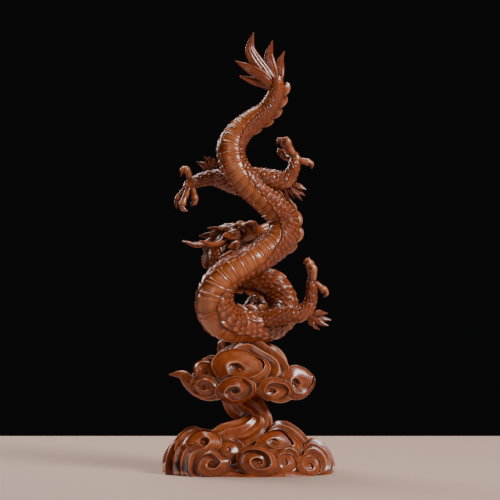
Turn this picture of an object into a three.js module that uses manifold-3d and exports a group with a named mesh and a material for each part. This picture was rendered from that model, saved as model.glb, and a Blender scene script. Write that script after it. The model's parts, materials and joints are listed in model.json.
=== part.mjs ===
// Dragon on a cloud stand, a boxwood carving 200 mm high.
// The dragon climbs tail up: its body drops in an S, wraps once round at the bottom and comes up behind
// its own coil, where the head looks away to the back right. It rests on a cloud stand carved from one
// block: a cap of curls on a fluted, S-bent stem that grows out of a wider mound of curls.
// Millimetres, +Z up, +X to the viewer's right, +Y away. Origin: middle of the stand's flat underside.
import * as THREE from "three";
import { mergeVertices } from "three/addons/utils/BufferGeometryUtils.js";
import Module from "manifold-3d";

const wasm = await Module();
wasm.setup();

// ---- driving dimensions ----
const SEAT_GAP = 0.3; // clearance all round between the dragon and its seat in the stand
const BELLY_HALF_ANGLE = 55; // degrees of the body's round that the belly plates take, each side
const PLATES = 38; // belly plates from the tail tuft to the throat
const PLATE_STEP = 0.35; // how far a belly plate's edge stands out
const SCALE_HEIGHT = 0.4; // how far a scale's tip stands out
const CREST_HALF_ANGLE = 9; // degrees of the body's round that the crest takes, each side
const CREST_PITCH = 6; // length of one scallop of the crest
const CREST_HEIGHT = 2.7; // how far the scallops stand out
const CREST_REACH = 8; // their usual distance from the middle of the body
const CREST_SWEEP = 1; // how far they lean towards the tail
const CURL_DOME = 0.22; // how far a cloud curl swells out, in curl radii
const CURL_STEP = 0.1; // height of its stepped lip, in curl radii
const CURL_LIP = 0.16; // share of a turn that the step outside the lip takes
const CURL_KNOB = 0.3; // turns taken up by the knob in a curl's middle
const STEM_RIBS = 6; // flutes round the stem

// Body from tail to throat: centre, radius, and the way the belly faces there.
const BODY = [
  [14, 0, 181, 2.7, [-1, -0.35, 0]],
  [13.5, 0, 175, 3.2, [-1, -0.3, 0]],
  [11.5, 0.5, 170, 3.7, [-0.95, -0.35, 0.1]],
  [8, 1.5, 165, 4.3, [-0.75, -0.5, 0.4]],
  [2, 2, 160.5, 5, [-0.6, -0.7, 0.45]],
  [-3.5, 1.5, 155.5, 5.5, [-0.45, -0.85, 0.2]],
  [-7, 0, 149.5, 6.1, [-0.1, -1, 0]],
  [-7, -1, 143.5, 6.1, [0, -1, 0]],
  [-4.5, -1.5, 137.5, 6.1, [-0.1, -1, 0]],
  [0.5, -1, 132, 6.2, [-0.35, -0.85, -0.3]],
  [6.5, 0, 126.5, 6.2, [-0.45, -0.75, -0.4]],
  [12, 1, 121.5, 6.3, [-0.65, -0.6, -0.4]],
  [16.4, 1.5, 116, 6.6, [-0.85, -0.5, -0.1]],
  [17, 0, 110.5, 6.8, [-0.88, -0.5, 0.1]],
  [13.5, -3, 104.5, 6.8, [-0.6, -0.8, 0.35]],
  [7, -6.5, 99.5, 6.6, [-0.25, -0.95, 0.2]],
  [0, -9.5, 95.5, 6.6, [0, -1, 0]],
  [-7, -11, 91.5, 6.8, [0.05, -1, 0]],
  [-12, -11.5, 87, 7.2, [-0.05, -1, 0]],
  [-14.5, -11.5, 81, 7.8, [-0.4, -0.9, 0]],
  [-14.5, -10.5, 75.5, 8.2, [-0.6, -0.8, -0.1]],
  [-11.5, -9, 70, 8.2, [-0.65, -0.65, -0.35]],
  [-6.5, -6.5, 67, 7.7, [-0.4, -0.5, -0.75]],
  [0.5, -3.5, 66, 7.2, [-0.1, -0.25, -0.95]],
  [7, 0.5, 66, 7, [0, 0, -1]],
  [13, 6, 68, 7, [0.35, 0.1, -0.95]],
  [16.5, 11, 73, 7.2, [0.85, 0.3, -0.4]],
  [15.5, 14, 79, 7.2, [0.85, 0.45, 0.15]],
  [12.5, 15, 84.5, 6.8, [0.6, 0.5, 0.65]],
  [6.5, 15, 88, 6.2, [0.2, 0.4, 0.9]],
  [0, 14.5, 89.5, 5.8, [0, 0.3, 0.95]],
  [-7, 14, 91, 5.5, [0.2, 0.2, 0.9]],
  [-12, 13.5, 95.5, 5.3, [0.8, 0, 0.6]],
  [-12, 14, 101.5, 5.1, [0.95, 0, 0]],
  [-8.5, 15, 106, 5, [0.6, 0.1, -0.75]],
  [-4, 17.5, 107.5, 4.8, [0.2, 0.1, -0.95]],
];

const lerp = THREE.MathUtils.lerp;
const smoothstep = THREE.MathUtils.smoothstep;
const radians = THREE.MathUtils.degToRad;
const vector = ([x, y, z]) => new THREE.Vector3(x, y, z);
const smoothCurve = (points) => new THREE.CatmullRomCurve3(points.map(vector), false, "catmullrom", 0.5);

// ---- solids ----
// A closed geometry as a manifold-3d solid, turned right way out.
function solid(geometry) {
  const bare = new THREE.BufferGeometry();
  bare.setAttribute("position", geometry.getAttribute("position"));
  bare.setIndex(geometry.getIndex());
  const merged = mergeVertices(bare, 1e-4);
  const corners = [...merged.index.array];
  const kept = [];
  for (let i = 0; i < corners.length; i += 3) {
    const [a, b, c] = corners.slice(i, i + 3);
    if (a !== b && b !== c && c !== a) kept.push(a, b, c);
  }
  const make = (triangles) =>
    new wasm.Manifold(
      new wasm.Mesh({
        numProp: 3,
        vertProperties: new Float32Array(merged.attributes.position.array),
        triVerts: new Uint32Array(triangles),
      }),
    );
  const made = make(kept);
  return made.volume() < 0 ? make(kept.reverse()) : made;
}

const fuse = (solids) => solids.reduce((a, b) => a.add(b));

// The largest of a solid's bodies: joins can leave a speck of no volume behind.
const mainBody = (made) => made.decompose().reduce((a, b) => (a.volume() > b.volume() ? a : b));

// A closed skin over rings of points that run the same way round, with a fan over each end.
function loft(rings) {
  const count = rings[0].length;
  const points = rings.flat();
  const faces = [];
  for (let i = 0; i + 1 < rings.length; i++) {
    for (let j = 0; j < count; j++) {
      const a = i * count + j;
      const b = i * count + ((j + 1) % count);
      faces.push(a, b, a + count, b, b + count, a + count);
    }
  }
  for (const [ring, start, turn] of [
    [rings[0], 0, false],
    [rings.at(-1), (rings.length - 1) * count, true],
  ]) {
    const middle = ring.reduce((sum, p) => sum.add(p), new THREE.Vector3()).divideScalar(count);
    const hub = points.push(middle) - 1;
    for (let j = 0; j < count; j++) {
      const a = start + j;
      const b = start + ((j + 1) % count);
      faces.push(...(turn ? [hub, a, b] : [hub, b, a]));
    }
  }
  return new THREE.BufferGeometry().setFromPoints(points).setIndex(faces);
}

// A closed skin over rows of points that run side by side along a piece, where one row may have a point
// more between each two of its neighbours' points, with a fan over each end.
function skin(rows) {
  const points = rows.flat();
  const starts = rows.map((_, r) => rows.slice(0, r).reduce((sum, row) => sum + row.length, 0));
  const steps = Math.min(...rows.map((row) => row.length)) - 1;
  const faces = [];
  const stride = (r) => (rows[r].length - 1) / steps;
  for (let r = 0; r < rows.length; r++) {
    const next = (r + 1) % rows.length;
    for (let i = 0; i < steps; i++) {
      const [a, b] = [r, next].map((q) => starts[q] + i * stride(q));
      const [c, d] = [a + stride(r), b + stride(next)];
      if (d - b === 2) faces.push(a, b, b + 1, a, b + 1, c, c, b + 1, d);
      else if (c - a === 2) faces.push(a, b, a + 1, a + 1, b, d, a + 1, d, c);
      else faces.push(a, b, c, b, d, c);
    }
  }
  for (const end of [0, 1]) {
    const rim = rows.map((row, r) => starts[r] + end * (row.length - 1));
    const middle = rim.reduce((sum, k) => sum.add(points[k]), new THREE.Vector3()).divideScalar(rim.length);
    const hub = points.push(middle) - 1;
    rim.forEach((k, r) => {
      const next = rim[(r + 1) % rim.length];
      faces.push(...(end ? [hub, k, next] : [hub, next, k]));
    });
  }
  return new THREE.BufferGeometry().setFromPoints(points).setIndex(faces);
}

// A round or flattened tube that swells and tapers along a smooth curve through points.
// widths are its half-widths at those points, side is the way its width lies, flat its thickness share.
function taper(points, widths, { side = [0, 0, 1], flat = 1, sides = 4, steps = 4 } = {}) {
  const curve = smoothCurve(points);
  const widthCurve = smoothCurve(widths.map((w) => [w, 0, 0]));
  const rings = [];
  for (let i = 0; i <= steps; i++) {
    const t = i / steps;
    const width = widthCurve.getPoint(t).x;
    const along = curve.getTangent(t);
    const across = vector(side).addScaledVector(along, -vector(side).dot(along)).normalize();
    const normal = along.clone().cross(across);
    const ring = [];
    for (let j = 0; j < sides; j++) {
      const angle = (2 * Math.PI * j) / sides;
      ring.push(
        curve
          .getPoint(t)
          .addScaledVector(across, width * Math.cos(angle))
          .addScaledVector(normal, width * flat * Math.sin(angle)),
      );
    }
    rings.push(ring);
  }
  return solid(loft(rings));
}

// ---- body ----
const bodyCurve = smoothCurve(BODY);
const bellyCurve = smoothCurve(BODY.map((s) => s[4]));
const radiusCurve = smoothCurve(BODY.map((s) => [s[3], 0, 0]));

// The body's place, its three directions and its radius at t, from 0 at the tail to 1 at the throat.
function bodyFrame(t) {
  const along = bodyCurve.getTangent(t);
  const belly = bellyCurve.getPoint(t);
  belly.addScaledVector(along, -belly.dot(along)).normalize();
  return {
    centre: bodyCurve.getPoint(t),
    along,
    belly,
    flank: along.clone().cross(belly),
    radius: radiusCurve.getPoint(t).x,
  };
}

// The point of the body at t that lies reach from its middle, at an angle from the middle of the belly.
function bodyPoint(t, degrees, reach, sweep = 0) {
  const { centre, along, belly, flank } = bodyFrame(t);
  return centre
    .addScaledVector(belly, reach * Math.cos(radians(degrees)))
    .addScaledVector(flank, reach * Math.sin(radians(degrees)))
    .addScaledVector(along, -sweep);
}

// Places along the body an even way apart, by the mean of its middle line's and its crest line's lengths.
function evenSteps(count) {
  const samples = 600;
  const sums = [0];
  const [middle, crest] = [0, CREST_REACH].map((reach) => (t) => bodyPoint(t, 180, reach));
  for (let i = 1; i <= samples; i++) {
    const [from, to] = [(i - 1) / samples, i / samples];
    const lengths = [middle, crest].map((line) => line(from).distanceTo(line(to)));
    sums.push(sums[i - 1] + (lengths[0] + lengths[1]) / 2);
  }
  const places = [];
  for (let n = 0; n <= count; n++) {
    const wanted = (sums[samples] * n) / count;
    const i = Math.max(1, sums.findIndex((s) => s >= wanted - 1e-9));
    places.push((i - 1 + (wanted - sums[i - 1]) / (sums[i] - sums[i - 1])) / samples);
  }
  return places;
}

// The angles of the rows of points down the body: the belly, then the scaled back up to the crest's
// root, and down the other side.
const bellyAngles = [-1, -1 / 3, 1 / 3, 1].map((share) => share * BELLY_HALF_ANGLE);
const flankAngles = [1 / 3, 2 / 3, 1].map((share) => lerp(BELLY_HALF_ANGLE, 180 - CREST_HALF_ANGLE, share));
const rowAngles = [...bellyAngles, ...flankAngles, ...flankAngles.toReversed().map((angle) => 360 - angle)];

// The crest: a row with twice the points of the others, notched between its scallops.
function crestRow(places) {
  const finer = places.flatMap((t, i) => (i ? [(places[i - 1] + t) / 2, t] : [t]));
  let length = 0;
  let last = bodyPoint(0, 180, bodyFrame(0).radius);
  return finer.map((t, i) => {
    const { radius } = bodyFrame(t);
    const root = bodyPoint(t, 180, radius);
    const before = Math.floor(length / CREST_PITCH);
    length += root.distanceTo(last);
    last = root;
    const notch = i === 0 || t === 1 || Math.floor(length / CREST_PITCH) > before;
    return notch ? root : bodyPoint(t, 180, radius + CREST_HEIGHT, CREST_SWEEP);
  });
}

// The body with its plates, two points of a row to a plate, its scales and its crest.
function bodySolid() {
  const places = evenSteps(2 * PLATES);
  const rows = rowAngles.map((degrees, j) =>
    places.map((t, i) => {
      const { radius } = bodyFrame(t);
      const onBelly = Math.abs(degrees) <= BELLY_HALF_ANGLE;
      const relief = onBelly ? (i % 2) * PLATE_STEP : ((i + j) % 2) * SCALE_HEIGHT;
      return bodyPoint(t, degrees, radius + relief);
    }),
  );
  rows.splice(bellyAngles.length + flankAngles.length, 0, crestRow(places));
  return solid(skin(rows));
}

// A plain body, a little larger all round, that cuts the seat out of the stand.
function bodyTool() {
  const rings = evenSteps(PLATES).map((t) =>
    rowAngles.map((degrees) => bodyPoint(t, degrees, bodyFrame(t).radius + SCALE_HEIGHT + SEAT_GAP)),
  );
  return solid(loft(rings));
}

// ---- tail tuft: five flames in a fan that join half way down ----
const tailTuft = [
  [[[12.5, 0, 176], [7.5, 0, 184], [3, -0.5, 189.5], [1.6, -1, 194], [3, -1, 201]], [2.4, 3.6, 3.8, 2.6, 0.3]],
  [[[13.5, 1, 177], [11.5, 1, 185], [10.2, 1, 191], [11.6, 0, 197.6]], [2, 3, 2.5, 0.3]],
  [[[14.5, 0, 176.5], [15.2, 1.2, 183], [15.4, 1, 187.6], [17.3, -0.5, 192.6]], [1.6, 2.3, 2.2, 0.3]],
  [[[12.5, -1, 176.5], [6, -1, 181.6], [0.5, -1.4, 185], [-5.6, -0.5, 188.4]], [2, 3, 2.5, 0.3]],
  [[[13, 0, 175.5], [7.5, 1, 177.6], [2, 1, 179.6], [-3.6, 0, 181.4]], [1.8, 2.2, 2, 0.3]],
].map(([points, widths]) => taper(points, widths, { side: [0.5, 0, 0.5], flat: 0.45 }));

// ---- head ----
// The head's own frame: x forward to the nose, y to the side that faces the viewer, z up.
const headPlace = new THREE.Vector3(-5, 17, 107.5);
const headForward = new THREE.Vector3(0.8, 0.58, 0.12).normalize();
const headSide = headForward.clone().cross(new THREE.Vector3(0, 0, 1)).normalize();
const headUp = headSide.clone().cross(headForward);
const headPoint = ([f, s, u]) =>
  headPlace
    .clone()
    .addScaledVector(headForward, f)
    .addScaledVector(headSide, s)
    .addScaledVector(headUp, u)
    .toArray();
const headWay = ([f, s, u]) =>
  new THREE.Vector3()
    .addScaledVector(headForward, f)
    .addScaledVector(headSide, s)
    .addScaledVector(headUp, u)
    .toArray();

// A skin over upright ovals along the head: place forward, height, half-width and half-height.
function headLoft(stations, sides = 10) {
  const rings = stations.map(([f, u, width, height]) => {
    const ring = [];
    for (let j = 0; j < sides; j++) {
      const angle = (2 * Math.PI * (j + 0.5)) / sides;
      ring.push(vector(headPoint([f, width * Math.cos(angle), u + height * Math.sin(angle)])));
    }
    return ring;
  });
  return solid(loft(rings));
}

function headBall(place, radius) {
  const ball = new THREE.SphereGeometry(radius, 5, 3);
  ball.translate(...headPoint(place));
  return solid(ball);
}

const headTaper = (points, widths, options) => taper(points.map(headPoint), widths, options);
const bothSides = (make) => [1, -1].map(make);

const skull = headLoft([
  [-4, 0, 4.4, 4.6],
  [0, 0.8, 5.3, 5.3],
  [4, 1.3, 5.7, 5.2],
  [7.5, 1.6, 5, 4.3],
  [10.5, 1.4, 3.8, 2.9],
  [14, 1.2, 3.4, 2.3],
  [17.5, 1.8, 3.9, 2.7],
  [20.5, 1.7, 3.2, 2.2],
  [22, 1.2, 1.6, 1.1],
]);
const jaw = headLoft([
  [0, -2.4, 3.6, 2.4],
  [6, -4.2, 3.5, 1.7],
  [11.5, -5.6, 2.9, 1.3],
  [15.5, -6.4, 2.5, 1.2],
  [18, -6.4, 1.2, 0.8],
], 8);
const tongue = headTaper([[5, 0, -2], [11, 0, -3.4], [15, 0, -3.2], [18, 0, -2]], [1.8, 1.7, 1.4, 0.3], {
  side: headWay([0, 1, 0]),
  flat: 0.4,
});
const features = bothSides((s) => [
  headBall([7, s * 4.3, 3.4], 1.3),
  headBall([19.6, s * 2.2, 2.9], 1.5),
  headTaper([[3, s * 3.6, 5], [7, s * 4.6, 5.4], [10.5, s * 3.6, 4]], [1.1, 1.3, 0.5], { flat: 0.8, steps: 3 }),
  headTaper([[1, s * 4.6, 2.6], [-1, s * 7.4, 4.2], [-5, s * 9, 4.6]], [1.4, 1.7, 0.2], {
    side: headWay([0, 0, 1]),
    flat: 0.5,
    steps: 3,
  }),
  headTaper(
    [[0.5, s * 2.6, 4.8], [-5, s * 3.8, 4.4], [-12, s * 5.2, -0.6], [-18.5, s * 6.2, -1.4], [-25.5, s * 7, 1.2]],
    [1.9, 1.8, 1.6, 1.4, 0.4],
    { sides: 5, steps: 5 },
  ),
  headTaper([[17.5, s * 3, 0.5], [17.5, s * 3.1, -2], [17, s * 3, -3.8]], [0.9, 0.7, 0.15], { steps: 2 }),
  headTaper([[15, s * 2, -6], [15, s * 2.2, -3.8], [14.6, s * 2.2, -2.4]], [0.8, 0.6, 0.15], { steps: 2 }),
  headTaper(
    [[18.5, s * 3.2, 1], [17, s * 6, -1.5], [11, s * 7.6, -4], [4, s * 7, -5.5], [-1, s * 5, -5]],
    [0.9, 0.8, 0.75, 0.7, 0.6],
  ),
]).flat();

// The mane: locks in a ring round the back of the head, long and short in turn, swept back.
const MANE_LOCKS = 9;
const mane = [];
for (let n = 0; n < MANE_LOCKS; n++) {
  const turn = radians(lerp(-150, 150, n / (MANE_LOCKS - 1)));
  const long = n % 2 === 0 ? 1 : 0.72;
  const flatter = 1 - 0.35 * Math.max(0, Math.cos(turn));
  const spot = (back, reach) => [back, reach * Math.sin(turn), reach * flatter * Math.cos(turn)];
  mane.push(
    headTaper([spot(0, 3.2), spot(-4, 7), spot(-4 - 5 * long, 7.6), spot(-4 - 10.5 * long, 9.6)], [0.8, 2.6, 2, 0.25], {
      side: headWay([0, Math.cos(turn), -Math.sin(turn)]),
      flat: 0.55,
      steps: 3,
    }),
  );
}
// The beard: locks under the jaw, hanging back.
const beard = [-1.5, -0.5, 0.5, 1.5].map((n) =>
  headTaper([[9 - Math.abs(n), n * 1.5, -5], [7, n * 2.2, -8.5], [2.5, n * 2.6, -11 + Math.abs(n)]], [1.2, 1.6, 0.2], {
    side: headWay([0, 1, 0]),
    flat: 0.6,
    steps: 3,
  }),
);

// ---- limbs ----
const limb = (points, widths) => taper(points, widths, { side: [0, 1, 0], sides: 6, steps: 6 });

// Toes: each leaves the palm, bends at a knuckle and ends in a hooked claw.
const toes = (palm, paths) =>
  paths.map((path) => taper([palm, ...path], [1, 1.7, 1.35, 0.15], { side: [0, 1, 0], steps: 3 }));

// Flame locks that fan out from a joint.
const flames = (root, tips, width, side) =>
  tips.map((tip) => {
    const middle = vector(root).lerp(vector(tip), 0.55).toArray();
    return taper([root, middle, tip], [width * 0.5, width, 0.2], { side, flat: 0.5, steps: 3 });
  });

const hindRight = [
  limb(
    [[-1, 1, 136], [9, -0.5, 134.3], [17, -1, 133.4], [20.9, -1.5, 137.5], [22, -1.5, 144]],
    [3.4, 4.2, 3.9, 2.8, 2.3],
  ),
  ...toes(
    [22.5, -1.5, 143],
    [
      [[19.7, -3, 148.4], [17.7, -3.5, 152.2], [16, -4, 150]],
      [[18, 0.5, 148.6], [15.3, 1, 152.2], [13.7, 0.5, 149.8]],
      [[18, 3.5, 144], [15.2, 4, 147.2], [14.2, 3.5, 145]],
      [[26.3, -1.5, 141.9], [29.2, -1.5, 141], [29.8, -2, 138.6]],
    ],
  ),
  ...flames([18.5, -1, 131.5], [[27.3, -1, 129], [25.5, -2.5, 124.4], [22, 1, 125]], 1.8, [0.6, 0, -0.8]),
  taper([[17, -1, 131.5], [18.8, -0.5, 125.3], [21.6, 0, 121], [22.7, 0, 118]], [0.9, 0.8, 1.2, 0.2]),
];
const hindLeft = [
  limb(
    [[-3, 4, 130.5], [-9.5, 8.5, 133], [-15.5, 10.5, 135], [-21, 9.5, 134], [-27, 7, 131.5]],
    [4, 3.9, 3.6, 3, 2.2],
  ),
  ...toes(
    [-26, 7, 132],
    [
      [[-27, 7, 137], [-29.2, 6.5, 139], [-30.6, 6, 135.2]],
      [[-30.7, 8, 127], [-32.2, 8, 123.5], [-32.4, 7, 120.5]],
      [[-28.8, 4.5, 125], [-29.8, 3.5, 121], [-27.2, 2.5, 119.2]],
      [[-24.4, 5, 127], [-24, 4, 123.5], [-26.2, 3.5, 122]],
    ],
  ),
  ...flames([-15, 11, 136], [[-23.3, 11, 142.6], [-19.8, 12, 145.4], [-15, 12, 144.2]], 2.2, [0.7, 0, 0.7]),
];
const frontRight = [
  limb(
    [[5, -4, 69], [15, -7.5, 71.3], [25, -9, 73], [29, -9, 78.5], [29.6, -9, 86.5]],
    [3.4, 3.7, 3.6, 2.7, 2.2],
  ),
  ...toes(
    [29.8, -9, 87],
    [
      [[28.5, -10, 93], [27.9, -10.2, 96.8], [25.5, -10.4, 95.2]],
      [[29.4, -6, 93], [28.6, -5.4, 96], [26.5, -5.4, 95]],
      [[30.4, -12, 91], [29.6, -13, 94], [27.8, -13, 93]],
      [[33.3, -9, 84.6], [36, -9, 82.2], [34.8, -9.2, 79.8]],
    ],
  ),
  ...flames([27.5, -9, 71.5], [[37, -9, 73], [38, -9.5, 67.8], [33.2, -8, 65]], 1.9, [0.7, 0, -0.7]),
  ...flames([10, -7, 69.5], [[1.5, -11, 70], [3, -10.6, 66.3]], 1.7, [0, 0, 1]),
];
// The far front foot stands on the cloud. grow widens the toes, for the seat they need in it.
const standingToes = (grow = 0) =>
  [
    [[-10, 8.5, 60], [-10.8, 5.5, 57.6], [-10.5, 4.5, 54]],
    [[-6.8, 7.5, 60.5], [-6.3, 4.5, 58.5], [-6.1, 3.6, 56]],
    [[-11, 14, 59], [-12.5, 14.5, 56.2], [-12.5, 14, 52]],
    [[-4, 16.5, 60], [-3, 19, 57.5], [-3, 19.5, 54.5]],
  ].map((path) =>
    taper([[-7, 12, 62.5], ...path], [1, 1.7, 1.35, 0.15].map((w) => w + grow), { side: [0, 1, 0], steps: 3 }),
  );
const frontLeft = [
  limb([[8, 6, 68], [6.5, 16, 72], [4, 21.5, 77], [-1, 20, 71], [-6.5, 13, 63]], [3.4, 3.7, 3.4, 2.6, 2.2]),
  ...standingToes(),
  ...flames([4, 22, 78], [[9, 26, 84], [4, 28, 82.5], [0, 25, 85]], 1.8, [1, 0, 0]),
];

const dragon = fuse([
  bodySolid(),
  ...tailTuft,
  skull,
  jaw,
  tongue,
  ...features,
  ...mane,
  ...beard,
  ...hindRight,
  ...hindLeft,
  ...frontRight,
  ...frontLeft,
]);

// ---- cloud stand ----
// A cloud curl: a cushion whose face winds in to a knob by a stepped spiral, on a cone that roots it in
// the stand. normal is the way it faces, tilt turns it in its own plane, aspect is width over height.
function curl(place, normal, radius, { tilt = 0, aspect = 1, hand = 1, turns = 1, columns = 8, depth = 0.7 } = {}) {
  const out = vector(normal).normalize();
  const right = new THREE.Vector3(0, 0, 1).cross(out).normalize();
  const up = out.clone().cross(right);
  const step = CURL_STEP * radius;
  const spot = (angle, share, height) => {
    const turned = hand * angle;
    const wide = radius * share * Math.sqrt(aspect) * Math.cos(turned);
    const high = ((radius * share) / Math.sqrt(aspect)) * Math.sin(turned);
    const [sine, cosine] = [Math.sin(radians(tilt)), Math.cos(radians(tilt))];
    return vector(place)
      .addScaledVector(right, wide * cosine - high * sine)
      .addScaledVector(up, wide * sine + high * cosine)
      .addScaledVector(out, height);
  };
  const rows = [];
  for (let j = 0; j <= columns; j++) {
    const share = j / columns;
    const angle = 2 * Math.PI * share;
    const face = (turn, lift) => {
      const k = THREE.MathUtils.clamp(turn, CURL_KNOB, turns);
      const fade = smoothstep(k, CURL_KNOB, CURL_KNOB + 0.25) * (1 - smoothstep(k, turns - 0.3, turns));
      return spot(angle, k / turns, CURL_DOME * radius * (1 - (k / turns) ** 2) + step * fade * lift);
    };
    const row = [spot(angle, 0, CURL_DOME * radius + step * 0.9), face(0, 0)];
    for (let m = 0; m < turns; m++) row.push(face(m + share, 0.7), face(m + CURL_LIP + share, -0.9));
    row.push(face(turns, 0), spot(angle, 0, -depth * radius));
    rows.push(row);
  }
  const across = rows[0].length;
  const faces = [];
  for (let j = 0; j < columns; j++) {
    for (let i = 0; i + 1 < across; i++) {
      const a = j * across + i;
      const b = a + across;
      faces.push(a, b, a + 1, b, b + 1, a + 1);
    }
  }
  return solid(new THREE.BufferGeometry().setFromPoints(rows.flat()).setIndex(faces));
}

// A rounded lump: a sphere drawn out to its three half-sizes.
function lump(place, halves, columns = 10) {
  const ball = new THREE.SphereGeometry(1, columns, 5);
  ball.rotateX(Math.PI / 2);
  ball.scale(...halves);
  ball.translate(...place);
  return solid(ball);
}

const mound = [
  lump([0.5, -0.5, 2], [41, 28, 9], 14),
  lump([-18.5, 1, 5], [14.5, 17.5, 15]),
  lump([7, 4, 5], [23, 19, 18.5]),
  curl([-21, -14, 13.5], [-0.3, -0.8, 0.5], 9, { aspect: 1.25, hand: -1 }),
  curl([-15.5, -25, 6.5], [-0.15, -1, 0.15], 7.4, { aspect: 1.35, turns: 2, columns: 10 }),
  curl([5, -26, 7], [0.1, -1, 0.2], 9, { aspect: 1.3, hand: -1, turns: 2, columns: 10 }),
  curl([13, -15.5, 14], [0.2, -0.8, 0.6], 10.5, { aspect: 1.6 }),
  curl([17.5, -24, 6], [0.3, -1, 0.1], 6, { aspect: 1.1 }),
  curl([29, -18.5, 5.5], [0.5, -0.9, 0.2], 7.5, { aspect: 1.6, hand: -1 }),
  curl([37, -4, 4], [1, -0.2, 0.25], 9, { aspect: 1.5 }),
  curl([-36, -4, 5], [-1, -0.2, 0.25], 9.5, { aspect: 1.5 }),
  curl([-30, -16.5, 6], [-0.8, -0.8, 0.2], 7, { aspect: 1, hand: -1 }),
  curl([-31, 12.5, 6], [-0.8, 0.7, 0.25], 9, { aspect: 1.4, hand: -1 }),
  curl([-14, 22, 7.5], [-0.25, 1, 0.25], 9.5, { aspect: 1.35 }),
  curl([8, 24, 7.5], [0, 1, 0.2], 10, { aspect: 1.35, hand: -1 }),
  curl([28.5, 16, 5.5], [0.7, 1, 0.25], 9, { aspect: 1.4 }),
  curl([-1, 16.5, 15], [-0.1, 0.8, 0.7], 10, { aspect: 1.5 }),
];

const cap = [
  lump([-1, 0, 41], [24.5, 16, 8]),
  lump([0, 1.5, 47], [17.5, 13.5, 12.3]),
  curl([-4, -12.5, 50], [0, -1, 0.4], 11.2, { aspect: 1.5, turns: 2, columns: 10 }),
  curl([-5.5, -17.5, 38.5], [0, -1, -0.1], 7.2, { aspect: 1.45, hand: -1, turns: 2, columns: 10 }),
  curl([10.5, -15.5, 39.5], [0.2, -1, 0], 6.6, { aspect: 1.3, hand: -1 }),
  curl([22.5, -8, 40.5], [0.5, -1, 0.25], 8.4, { aspect: 1.1, hand: -1 }),
  curl([-20, -11.5, 39.5], [-0.5, -1, 0], 5.8, { aspect: 1.1 }),
  curl([-18, -6.5, 46.5], [-0.6, -0.7, 0.5], 5.4, { aspect: 1 }),
  curl([3, 12.5, 49.5], [0, 1, 0.4], 11, { aspect: 1.4 }),
  curl([-3, 17.5, 38.5], [0, 1, -0.1], 7.5, { aspect: 1.3, hand: -1 }),
  curl([15.5, 12, 40], [0.6, 1, 0.1], 8, { aspect: 1.3 }),
  curl([-17, 11.5, 40.5], [-0.5, 1, 0.1], 7.5, { aspect: 1.3 }),
  taper([[-17, -2, 39], [-24.5, -3, 37.5], [-29, -3, 42], [-36, -2, 44.2]], [5.5, 5, 3, 0.3], {
    side: [0.4, 0, 0.9],
    flat: 0.8,
    sides: 6,
    steps: 6,
  }),
];

// The stem: a bundle of flutes that leaves the mound to the left, bends right and meets the cap.
function stemSolid() {
  const stations = [
    [-19, -15, 11, 4.5, 3],
    [-10, -13, 15, 7.5, 4.5],
    [0, -9, 18, 7.5, 6],
    [5, -5.5, 22.5, 6.6, 6],
    [2.5, -3, 27.5, 7, 6],
    [-2, -1.5, 31, 8.2, 6.5],
    [-3, -1, 37, 10, 8],
  ];
  const curve = smoothCurve(stations);
  const sizes = smoothCurve(stations.map((s) => [s[3], s[4], 0]));
  const rings = [];
  for (let i = 0; i <= 10; i++) {
    const t = i / 10;
    const along = curve.getTangent(t);
    const deep = new THREE.Vector3(0, 1, 0).addScaledVector(along, -along.y).normalize();
    const wide = along.clone().cross(deep);
    const size = sizes.getPoint(t);
    const ring = [];
    for (let j = 0; j < 2 * STEM_RIBS; j++) {
      const angle = (Math.PI * j) / STEM_RIBS;
      const reach = j % 2 ? 0.82 : 1.06;
      ring.push(
        curve
          .getPoint(t)
          .addScaledVector(wide, reach * size.x * Math.cos(angle))
          .addScaledVector(deep, reach * size.y * Math.sin(angle)),
      );
    }
    rings.push(ring);
  }
  return solid(loft(rings));
}

function block(size, centre) {
  const box = new THREE.BoxGeometry(...size);
  box.translate(...centre);
  return solid(box);
}

const underside = block([200, 200, 40], [0, 0, -20]);
const cloudStand = fuse([...mound, ...cap, stemSolid()])
  .subtract(underside)
  .subtract(bodyTool())
  .subtract(fuse(standingToes(SEAT_GAP)));

// ---- the two pieces ----
function piece(name, made, colour) {
  const { vertProperties, triVerts } = made.getMesh();
  const geometry = new THREE.BufferGeometry();
  geometry.setAttribute("position", new THREE.BufferAttribute(vertProperties, 3));
  geometry.setIndex(new THREE.BufferAttribute(triVerts, 1));
  geometry.computeVertexNormals();
  const wood = new THREE.MeshStandardMaterial({ color: colour, roughness: 0.35, metalness: 0 });
  const mesh = new THREE.Mesh(geometry, wood);
  mesh.name = name;
  return mesh;
}

const dragonOnCloud = new THREE.Group();
dragonOnCloud.add(
  piece("dragon", mainBody(dragon), 0x9a4a22),
  piece("cloud_stand", mainBody(cloudStand), 0x94431d),
);

export default dragonOnCloud;
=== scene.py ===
"""Dragon on a cloud stand: the finished carving, drawn round its solids.

Everything is worked out in millimetres, +Z up, +X to the right and +Y away, and written in metres.
"""

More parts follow.
